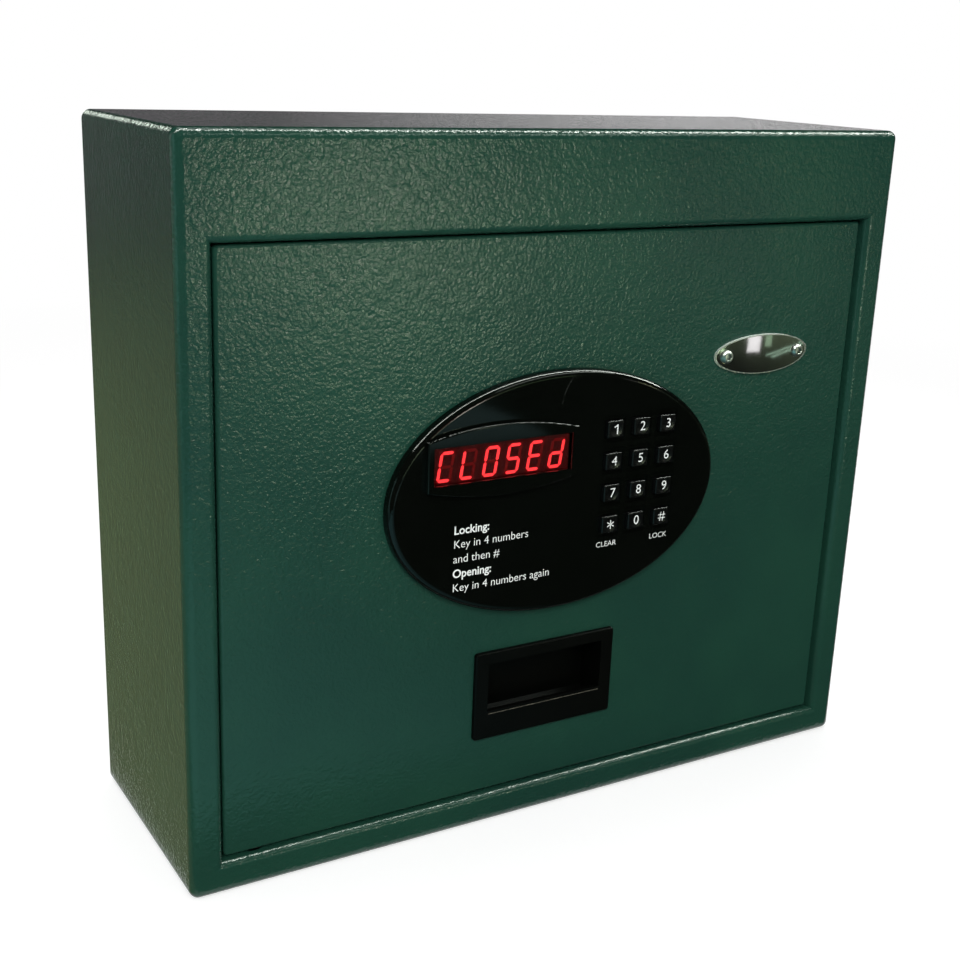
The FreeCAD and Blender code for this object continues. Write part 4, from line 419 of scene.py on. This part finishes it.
# Height, in millimetres, of the painted highlight along the window's lower edge
WINDOW_EDGE_HIGHLIGHT = 0.45
MATERIALS = make_materials()
FINISHES = {
    "enamel": "cabinet_shell back_panel door_pan hinge_block_lower hinge_block_upper inner_cover",
    "felt": "floor_mat",
    "gloss_black": "control_panel",
    "satin_black": "battery_box battery_lid",
    "pull_black": "pull_cup",
    "key_black": "key_1 key_2 key_3 key_4 key_5 key_6 key_7 key_8 key_9 key_star key_0 key_hash",
    "chrome": "override_cover_plate",
    "black_oxide": "hinge_pin_lower hinge_pin_upper hinge_washer hinge_bush_lower hinge_bush_upper",
    "bright_steel": "bolt_lower bolt_upper motor_shaft",
    "zinc": "panel_nuts pull_nuts lock_cam cam_screw bolt_carriage guide_studs guide_nuts "
            "motor_bracket motor_screws board_screws inner_cover_screws",
    "plain_steel": "lock_bracket drive_rack",
    "nickel": "lock_barrel lock_nut gear_motor battery_contacts",
    "brass": "lock_plug drive_pinion",
    "acetal": "bolt_guides board_spacers",
    "module": "display_module",
    "window": "display_window",
    "board": "control_board",
    "keypad_board": "keypad_board",
    "cell_wrap": "batteries",
}


def paint(piece, finish):
    piece.data.materials.clear()
    piece.data.materials.append(MATERIALS[finish])


def finish_nodes():
    for finish, names in FINISHES.items():
        for name in names.split():
            paint(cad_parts[name], finish)


# Pieces

def link_mesh(name, shape, finish, body):
    data = bpy.data.meshes.new(name)
    shape.to_mesh(data)
    shape.free()
    piece = bpy.data.objects.new(name, data)
    bpy.context.scene.collection.objects.link(piece)
    paint(piece, finish)
    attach(piece, body)
    return piece


def on_face(x, z):
    """How far a dished key's face lies behind the key's rim: nothing on a flat face."""
    return 0.0


def dish(centre_x, centre_z):
    """The same for a key whose centre is given, in millimetres."""
    def depth(x, z):
        across = (x - centre_x) ** 2 + (z - centre_z) ** 2
        return max(0.0, DISH_DEPTH - across / (2 * DISH_RADIUS))
    return depth


def printed(name, shape, x, z, face_y, body, depth=on_face):
    """Lay a flat shape, drawn in millimetres of X and Z, on a face as a thin coat of ink."""
    bmesh.ops.recalc_face_normals(shape, faces=shape.faces)
    for face in shape.faces:
        if face.normal.y > 0:
            face.normal_flip()
    for vertex in shape.verts:
        at_x, at_z = x + vertex.co.x, z + vertex.co.z
        at_y = face_y + depth(at_x, at_z) - INK
        vertex.co = Vector((at_x * MM, at_y * MM, at_z * MM))
    return link_mesh(name, shape, "legend", body)


def lettering(words, size, align="CENTER", heavy=0.0, stretch=1.0):
    """Words as a flat shape in millimetres, standing upright, facing the front."""
    curve = bpy.data.curves.new("lettering", "FONT")
    curve.body = words
    curve.size = size
    curve.align_x = align
    curve.align_y = "CENTER"
    curve.offset = heavy
    curve.resolution_u = 6
    holder = bpy.data.objects.new("lettering", curve)
    flat = bpy.data.meshes.new_from_object(holder)
    shape = bmesh.new()
    shape.from_mesh(flat)
    bpy.data.objects.remove(holder)
    bpy.data.curves.remove(curve)
    bpy.data.meshes.remove(flat)
    for vertex in shape.verts:
        vertex.co = Vector((vertex.co.x * stretch, 0, vertex.co.y))
    return shape


def bars(strokes, width):
    """Straight strokes of one width as a flat shape, each from (x, z) to (x, z)."""
    shape = bmesh.new()
    for x0, z0, x1, z1 in strokes:
        along = Vector((x1 - x0, 0, z1 - z0)).normalized()
        side = Vector((-along.z, 0, along.x)) * width / 2
        start, end = Vector((x0, 0, z0)), Vector((x1, 0, z1))
        corners = [start - side, end - side, end + side, start + side]
        shape.faces.new([shape.verts.new(c) for c in corners])
    return shape


DISH_RADIUS = 22.0
DISH_DEPTH = 0.25
INK = 0.02
KEYPAD_X = 35.3
KEYPAD_UP = 160.9
KEY_PITCH_X = 14.5
KEY_PITCH_Z = 14.85
LEGEND_HEIGHT = 4.5
LEGEND_STROKE = 0.62
LEGENDS = (("1", "1"), ("2", "2"), ("3", "3"), ("4", "4"), ("5", "5"), ("6", "6"),
           ("7", "7"), ("8", "8"), ("9", "9"), ("star", "*"), ("0", "0"), ("hash", "#"))


def legend_shape(mark):
    """One and the two signs are drawn from strokes, the other figures from the plain typeface."""
    half = LEGEND_HEIGHT / 2
    if mark == "1":
        flag = LEGEND_HEIGHT * 0.28
        return bars([(0.45, -half, 0.45, half), (0.5, half - 0.3, -flag + 0.1, half - flag)], LEGEND_STROKE)
    if mark == "*":
        reach = LEGEND_HEIGHT * 0.46
        turns = [math.radians(a) for a in (90, 30, -30)]
        return bars([(-reach * math.cos(t), -reach * math.sin(t), reach * math.cos(t), reach * math.sin(t))
                     for t in turns], LEGEND_STROKE * 0.66)
    if mark == "#":
        lean, wide, tall = 0.30, 0.80, LEGEND_HEIGHT * 0.48
        return bars([(-wide - lean, -tall, -wide + lean, tall), (wide - lean, -tall, wide + lean, tall),
                     (-2.0, 0.78, 2.0, 0.78), (-2.0, -0.78, 2.0, -0.78)], LEGEND_STROKE * 0.58)
    return lettering(mark, LEGEND_HEIGHT / 0.73, heavy=-0.01, stretch=1.0)


def key_legends():
    for index, (name, mark) in enumerate(LEGENDS):
        x = KEYPAD_X + (index % 3 - 1) * KEY_PITCH_X
        z = up(KEYPAD_UP) + (1.5 - index // 3) * KEY_PITCH_Z
        printed("legend_" + name, legend_shape(mark), x + 0.35, z, KEY_FACE_Y, "key_" + name, dish(x, z))


SEGMENTS = "abcdefg"
GLYPHS = {"C": "adef", "L": "def", "O": "abcdef", "S": "acdfg", "E": "adefg", "d": "bcdeg"}
DIGIT_LEFT = -69.6
DIGIT_PITCH = 11.0
DIGIT_LOW = 169.0
DIGIT_HIGH = 182.3
DIGIT_WIDTH = 7.0
DIGIT_LEAN = math.tan(math.radians(9))
SEGMENT_WIDTH = 1.35
SEGMENT_GAP = 0.12
WINDOW_LEFT = -70.5
WINDOW_RIGHT = -2.5
GLOW_REACH = 2.0
GLOW_STRENGTH = 0.30
GLOW_BASE = 0.004
GLOW_STRIP = -5.6


def segment_line(segment):
    """A segment's middle line (x, z) to (x, z), from an upright digit's lower-left corner."""
    height = DIGIT_HIGH - DIGIT_LOW
    half = SEGMENT_WIDTH / 2
    left, right = half, DIGIT_WIDTH - half
    rows = {"a": height - half, "g": height / 2, "d": half}
    if segment in rows:
        return (left + SEGMENT_GAP, rows[segment]), (right - SEGMENT_GAP, rows[segment])
    x = right if segment in "bc" else left
    z0, z1 = (height / 2, height - half) if segment in "bf" else (half, height / 2)
    return (x, z0 + SEGMENT_GAP), (x, z1 - SEGMENT_GAP)


def leaned(place, x, z):
    """A digit's own (x, z) as millimetres of the frame's X and Z."""
    return DIGIT_LEFT + place * DIGIT_PITCH + x + z * DIGIT_LEAN, up(DIGIT_LOW + z)


def segment_mesh(shape, heat, place, segment, front):
    """A six-sided bar with a raised ridge, hot along the ridge and cool at its rim."""
    (x0, z0), (x1, z1) = segment_line(segment)
    half = SEGMENT_WIDTH / 2
    flat = z0 == z1
    tip = (half, 0) if flat else (0, half)
    side = (0, half) if flat else (half, 0)
    rim = [(x0, z0), (x0 + tip[0] + side[0], z0 + tip[1] + side[1]), (x1 - tip[0] + side[0], z1 - tip[1] + side[1]),
           (x1, z1), (x1 - tip[0] - side[0], z1 - tip[1] - side[1]), (x0 + tip[0] - side[0], z0 + tip[1] - side[1])]
    ridge = [(x0 + tip[0], z0 + tip[1]), (x1 - tip[0], z1 - tip[1])]

    def vertex(point, y, warmth):
        x, z = leaned(place, *point)
        made = shape.verts.new((x * MM, y * MM, z * MM))
        made[heat] = warmth
        return made

    r = [vertex(p, front, 0.0) for p in rim]
    a, b = (vertex(p, front - 0.02, 1.0) for p in ridge)
    for corners in ((r[0], r[1], a), (r[1], r[2], b, a), (r[2], r[3], b), (r[3], r[4], b),
                    (r[4], r[5], a, b), (r[5], r[0], a)):
        shape.faces.new(corners)


def distance_to(px, pz, line):
    (x0, z0), (x1, z1) = line
    dx, dz = x1 - x0, z1 - z0
    t = max(0.0, min(1.0, ((px - x0) * dx + (pz - z0) * dz) / (dx * dx + dz * dz)))
    return math.hypot(px - x0 - t * dx, pz - z0 - t * dz)


def display_digits():
    """Lit and unlit segments, and the glow round the lit ones, on the face of the digit block."""
    low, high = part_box("display_module")
    front = low.y / MM
    meshes = {"lit": bmesh.new(), "unlit": bmesh.new()}
    heat = {kind: shape.verts.layers.float.new("heat") for kind, shape in meshes.items()}
    lit_lines = []
    for place, glyph in enumerate("CLOSEd"):
        for segment in SEGMENTS:
            kind = "lit" if segment in GLYPHS[glyph] else "unlit"
            segment_mesh(meshes[kind], heat[kind], place, segment, front - 0.05)
            if kind == "lit":
                lit_lines.append([leaned(place, *end) for end in segment_line(segment)])
    link_mesh("digits_lit", meshes["lit"], "lit", "door")
    link_mesh("digits_unlit", meshes["unlit"], "unlit", "door")
    sheet = bmesh.new()
    glow = sheet.verts.layers.float.new("glow")
    columns, rows = 150, 40
    x0, x1 = low.x / MM + 0.05, high.x / MM - 0.05
    z0, z1 = low.z / MM + 0.05, high.z / MM - 0.05
    grid = []
    for j in range(rows + 1):
        for i in range(columns + 1):
            x, z = x0 + (x1 - x0) * i / columns, z0 + (z1 - z0) * j / rows
            vertex = sheet.verts.new((x * MM, (front - 0.02) * MM, z * MM))
            near = min(distance_to(x, z, line) for line in lit_lines)
            fade = math.exp(-(max(0.0, near - 0.3) / GLOW_REACH) * 1.8)
            strip = 0.03 if x > GLOW_STRIP else 0.0
            vertex[glow] = min(1.0, GLOW_BASE + strip + GLOW_STRENGTH * fade ** 2.2)
            grid.append(vertex)
    for j in range(rows):
        for i in range(columns):
            a = j * (columns + 1) + i
            sheet.faces.new((grid[a], grid[a + 1], grid[a + columns + 2], grid[a + columns + 1]))
    link_mesh("digit_block_face", sheet, "glow", "door")


NOTE_LEFT = -59.7
NOTE_SIZE = 5.3
NOTE_LINES = (
    ("Locking:", 146.3, True), ("Key in 4 numbers", 140.0, False), ("and then #", 133.3, False),
    ("Opening:", 126.6, True), ("Key in 4 numbers again", 120.1, False))


def panel_print():
    for index, (words, height, bold) in enumerate(NOTE_LINES):
        shape = lettering(words, NOTE_SIZE, align="LEFT", heavy=0.09 if bold else -0.03)
        printed("note_%d" % (index + 1), shape, NOTE_LEFT, up(height), PANEL_FACE_Y, "door")
    for words, x in (("CLEAR", 20.5), ("LOCK", 50.0)):
        shape = lettering(words, 3.6, heavy=-0.02, stretch=1.06)
        printed("label_" + words.lower(), shape, x, up(128.8), PANEL_FACE_Y, "door")


SCREW_SPREAD = 43.2
SCREW_HEAD = 6.2
SCREW_FOOT_Y = -112.5
SCREW_TOP_Y = -115.15
SCREW_TURNS = 48
SOCKET_FLATS = 2.6
SOCKET_DEPTH = 1.5


def button_head(name, x, z):
    """A domed head with a bevelled hexagon socket, turned about the Y axis."""
    shape = bmesh.new()
    radius = SCREW_HEAD / 2
    rise = SCREW_FOOT_Y - SCREW_TOP_Y
    profile = [(radius - 0.05, rise * 1.0), (radius, rise * 0.86), (radius, rise * 0.74)]
    for step in range(1, 9):
        angle = math.radians(90 * step / 9)
        profile.append((SOCKET_FLATS / 2 + 0.55 + (radius - SOCKET_FLATS / 2 - 0.55) * math.cos(angle),
                        rise * 0.74 * (1 - math.sin(angle))))
    profile.append((SOCKET_FLATS / 2 + 0.42, 0.0))
    rings = []
    for r, back in profile:
        rings.append([(r * math.cos(2 * math.pi * k / SCREW_TURNS), back,
                       r * math.sin(2 * math.pi * k / SCREW_TURNS)) for k in range(SCREW_TURNS)])
    for flats, back in ((SOCKET_FLATS + 0.3, 0.02), (SOCKET_FLATS, 0.22), (SOCKET_FLATS, SOCKET_DEPTH)):
        ring = []
        for k in range(SCREW_TURNS):
            angle = 2 * math.pi * k / SCREW_TURNS
            inside = (angle % (math.pi / 3)) - math.pi / 6
            r = flats / 2 / math.cos(inside)
            ring.append((r * math.cos(angle), back, r * math.sin(angle)))
        rings.append(ring)
    loops = [[shape.verts.new(((x + p[0]) * MM, (SCREW_TOP_Y + p[1]) * MM, (z + p[2]) * MM)) for p in ring]
             for ring in rings]
    for a, b in zip(loops, loops[1:]):
        for k in range(SCREW_TURNS):
            j = (k + 1) % SCREW_TURNS
            shape.faces.new((a[k], b[k], b[j], a[j]))
    shape.faces.new(loops[-1])
    shape.faces.new(list(reversed(loops[0])))
    bmesh.ops.recalc_face_normals(shape, faces=shape.faces)
    for face in shape.faces:
        face.smooth = True
    piece = link_mesh(name, shape, "screw_steel", "door")
    mark_sharp(piece, 40)
    return piece


def mark_sharp(piece, angle):
    """Keep edges sharper than this many degrees crisp under smooth shading."""
    shape = bmesh.new()
    shape.from_mesh(piece.data)
    for edge in shape.edges:
        if len(edge.link_faces) == 2:
            edge.smooth = edge.calc_face_angle(0) < math.radians(angle)
    shape.to_mesh(piece.data)
    shape.free()


def cover_screws():
    made = [button_head("cover_screw_%d" % (k + 1), LOCK_X + side * SCREW_SPREAD / 2, LOCK_Z)
            for k, side in enumerate((-1, 1))]
    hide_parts("cover_screws")
    return made


# Floor, light and surround

WHITE_FROM = 0.75
WHITE_BY = 1.3


def seen_directly(tree):
    """One for camera, glossy and transmission rays, nought for the rays that light things."""
    path = tree.nodes.new("ShaderNodeLightPath")
    seen = path.outputs["Is Camera Ray"]
    for name in ("Is Glossy Ray", "Is Transmission Ray"):
        both = tree.nodes.new("ShaderNodeMath")
        both.operation = "MAXIMUM"
        tree.links.new(seen, both.inputs[0])
        tree.links.new(path.outputs[name], both.inputs[1])
        seen = both.outputs[0]
    return seen


def floor_paper():
    """Pale paper that keeps the object's shadow, and runs out to plain white further off."""
    n = Nodes("floor_paper")
    tone = n.number(n.noise(3, 2), 0.3, 0.7, 0, 1)
    colour = n.mix(tone, (0.64, 0.64, 0.64), (0.66, 0.66, 0.66))
    n.surface(colour, 0.9, Specular_IOR_Level=0.1)
    paper = n.output.inputs["Surface"].links[0].from_socket
    lift = n.add("ShaderNodeEmission")
    lift.inputs["Strength"].default_value = 0.5
    lifted = n.add("ShaderNodeAddShader")
    n.link(paper, lifted.inputs[0])
    n.link(lift.outputs[0], lifted.inputs[1])
    length = n.add("ShaderNodeVectorMath", operation="LENGTH")
    n.link(n.place(), length.inputs[0])
    far = n.number(length.outputs["Value"], WHITE_FROM, WHITE_BY, 0, 1)
    white = n.add("ShaderNodeEmission")
    white.inputs["Strength"].default_value = 1.0
    shown = n.add("ShaderNodeMixShader")
    n.link(far, shown.inputs[0])
    n.link(lifted.outputs[0], shown.inputs[1])
    n.link(white.outputs[0], shown.inputs[2])
    choice = n.add("ShaderNodeMixShader")
    n.link(seen_directly(n.tree), choice.inputs[0])
    n.link(paper, choice.inputs[1])
    n.link(shown.outputs[0], choice.inputs[2])
    n.link(choice.outputs[0], n.output.inputs["Surface"])
    return n.material


def sheet_object(name, size_x, size_y, material):
    shape = bmesh.new()
    bmesh.ops.create_grid(shape, x_segments=1, y_segments=1, size=0.5)
    bmesh.ops.scale(shape, vec=(size_x, size_y, 1), verts=shape.verts)
    data = bpy.data.meshes.new(name)
    shape.to_mesh(data)
    shape.free()
    sheet = bpy.data.objects.new(name, data)
    bpy.context.scene.collection.objects.link(sheet)
    data.materials.append(material)
    return sheet


def make_floor():
    floor = sheet_object("floor", 14, 14, floor_paper())
    floor.location.z = (BASE_Z - 0.02) * MM


def card_paint(name, near, far=None, start=0.0, end=1.0, axis="X", reverse=False):
    """A studio card's own dim light, plain or changing along one of the card's sides."""
    n = Nodes(name)
    glow = n.add("ShaderNodeEmission")
    if far:
        split = n.add("ShaderNodeSeparateXYZ")
        n.link(n.place(), split.inputs[0])
        ends = (1, 0) if reverse else (0, 1)
        n.link(n.mix(n.number(split.outputs[axis], start, end, *ends), near, far), glow.inputs["Color"])
    else:
        glow.inputs["Color"].default_value = (*near, 1)
    n.link(glow.outputs[0], n.output.inputs["Surface"])
    return n.material


def only_mirrored(sheet):
    sheet.visible_camera = False
    sheet.visible_diffuse = False
    sheet.visible_transmission = False
    sheet.visible_volume_scatter = False
    sheet.visible_shadow = False


def card(name, place, size, material, facing=None):
    """A card out of the picture, for the gloss of the paint and plastic to mirror."""
    sheet = sheet_object(name, *size, material)
    sheet.location = place
    if facing:
        sheet.rotation_euler = (Vector(facing) - Vector(place)).to_track_quat("Z", "Y").to_euler()
    only_mirrored(sheet)
    return sheet


def arch(name, y, radius, width, start, end, material):
    """A curved card that spans the object from left to right, its angles taken from the floor at the left."""
    shape = bmesh.new()
    steps = 24
    rows = []
    for k in range(steps + 1):
        angle = math.radians(start + (end - start) * k / steps)
        x, z = -radius * math.cos(angle), BASE_Z * MM + radius * math.sin(angle)
        rows.append([shape.verts.new((x, y + side * width / 2, z)) for side in (-1, 1)])
    for (a, b), (c, d) in zip(rows, rows[1:]):
        shape.faces.new((a, c, d, b))
    data = bpy.data.meshes.new(name)
    shape.to_mesh(data)
    shape.free()
    sheet = bpy.data.objects.new(name, data)
    bpy.context.scene.collection.objects.link(sheet)
    data.materials.append(material)
    only_mirrored(sheet)
    return sheet


def make_cards():
    dark = card_paint("card_dark", (0.018, 0.02, 0.018))
    olive = card_paint("card_olive", (0.13, 0.11, 0.09), (0.27, 0.30, 0.14), -0.9, 0.5, "Y", True)
    grey = card_paint("card_grey", (0.13, 0.115, 0.11))
    back = card_paint("card_back", (0.24, 0.19, 0.22), (1.3, 1.25, 1.28), -0.35, 0.6)
    ahead = card_paint("card_ahead", (0.012, 0.014, 0.011), (0.07, 0.09, 0.055), -0.65, 0.1)
    floor_z = BASE_Z * MM + 0.0002
    card("card_front", (0.6, -2.6, 1.1), (9.0, 2.6), dark, (0.6, 0, 1.1))
    card("card_right", (3.3, -0.3, 1.1), (5.0, 2.6), dark, (0, -0.3, 1.1))
    card("card_wall_left", (-2.7, -0.9, 1.1), (3.6, 2.6), dark, (0, -0.9, 1.1))
    card("card_top", (0.3, 0.2, 2.4), (7.6, 6.0), dark)
    card("card_wall_back", (0.3, 3.0, 1.4), (7.6, 2.0), dark, (0.3, 0, 1.4))
    card("card_floor", (1.2, -1.36, floor_z), (4.0, 2.48), ahead)
    card("card_floor_left", (-1.75, -1.36, floor_z), (1.9, 2.48), dark)
    card("card_left", (-1.18, 1.3, floor_z), (2.0, 2.84), olive)
    card("card_left_back", (-1.5, 2.6, 0.35), (2.0, 1.0), grey, (-1.5, 0, 0.35))
    card("card_back", (1.0, 1.8, 0.15), (3.0, 0.55), back, (1.0, 0, 0.15))
    card("card_patch", (0.16, -0.86, floor_z + 0.0002), (0.42, 0.34), card_paint("card_patch", (0.30, 0.5, 0.5)))
    sheen = card_paint("sheen_floor", (0.9, 1.25, 0.75))
    card("sheen_floor", (0.40, -1.42, floor_z + 0.0002), (0.6, 0.5), sheen)
    blue = card_paint("floor_blue", (0.27, 0.64, 0.67), (0.012, 0.014, 0.011), -0.02, 0.25)
    card("floor_blue", (-0.16, -0.42, floor_z + 0.0003), (0.5, 0.5), blue)
    streak = card_paint("streak_floor", (0.55, 0.8, 0.6))
    for k, across in enumerate((0.0, 0.055)):
        card("streak_floor_%d" % (k + 1), (1.02, -0.80 - across, floor_z + 0.0002), (0.42, 0.02), streak)
    for name, place, size, glow in STRIPS:
        card(name, place, size, card_paint(name, glow), (0, -0.1, 0.05))
    arch("arch_over", -0.2, 1.65, 0.10, 50, 150, card_paint("arch_over", (55, 59, 54)))
    arch("arch_wing", -0.15, 1.8, 0.6, 0, 26, card_paint("arch_wing", (0.6, 1.2, 1.1)))
    wing = card_paint("wing_floor", (0.5, 1.1, 1.0), (0.12, 0.3, 0.28), -0.6, 0.6)
    card("wing_floor", (-1.05, -0.32, floor_z + 0.0002), (1.4, 0.34), wing)


STRIPS = (
    ("strip_front", (0.92, -1.1, 1.2), (1.25, 0.17), (7, 7.8, 7)),
    ("sheen_warm", (0.49, -1.62, 0.04), (0.34, 0.16), (1.1, 0.35, 0.42)),
    ("sheen_green", (0.84, -1.62, 0.0), (0.3, 0.2), (0.9, 1.4, 0.7)),
    ("sheen_low", (0.50, -1.62, -0.10), (0.5, 0.14), (2.0, 2.5, 1.6)),
    ("lamp_left", (0.56, -1.58, 0.0), (0.14, 0.10), (17, 16, 14)),
    ("lamp_low", (0.62, -1.38, -0.15), (0.12, 0.08), (18, 21, 14)),
    ("strip_left_top", (-0.26, 1.72, 0.60), (0.5, 0.16), (5, 5.4, 4.8)),
    ("lamp_spark", (0.86, -1.0, 0.035), (0.05, 0.05), (9, 10, 4.5)),
    ("lamp_plate", (0.81, -1.0, -0.06), (0.09, 0.2), (1.15, 1.1, 1.1)),
    ("strip_plate_green", (0.95, -1.0, -0.05), (0.05, 0.2), (0.3, 0.42, 0.28)),
)


def area_light(name, place, target, size, power, colour=(1, 1, 1)):
    light = bpy.data.lights.new(name, "AREA")
    light.shape = "RECTANGLE"
    light.size, light.size_y = size
    light.energy = power
    light.color = colour
    lamp = bpy.data.objects.new(name, light)
    bpy.context.scene.collection.objects.link(lamp)
    lamp.location = place
    lamp.rotation_euler = (Vector(target) - Vector(place)).to_track_quat("-Z", "Y").to_euler()
    lamp.visible_camera = False
    return lamp


def make_world():
    world = bpy.data.worlds.new("world")
    bpy.context.scene.world = world
    world.use_nodes = True
    tree = world.node_tree
    tree.nodes.clear()
    lighting = tree.nodes.new("ShaderNodeBackground")
    lighting.inputs["Strength"].default_value = 0.5
    background = tree.nodes.new("ShaderNodeBackground")
    background.inputs["Color"].default_value = (1, 1, 1, 1)
    lighting.inputs["Color"].default_value = (1, 1, 1, 1)
    background.inputs["Strength"].default_value = 1.0
    mix = tree.nodes.new("ShaderNodeMixShader")
    output = tree.nodes.new("ShaderNodeOutputWorld")
    tree.links.new(seen_directly(tree), mix.inputs[0])
    tree.links.new(lighting.outputs[0], mix.inputs[1])
    tree.links.new(background.outputs[0], mix.inputs[2])
    tree.links.new(mix.outputs[0], output.inputs["Surface"])


def make_lights():
    key = area_light("key", (-0.9, -1.7, 1.3), (0, 0, 0), (0.9, 0.9), 36)
    key.visible_glossy = False
    area_light("top", (0.2, 0.3, 1.7), (0, 0, 0), (1.2, 0.8), 5)


make_camera()
finish_nodes()
key_legends()
display_digits()
panel_print()
cover_screws()
make_floor()
make_cards()
make_world()
make_lights()
bpy.context.scene.view_settings.view_transform = "Standard"
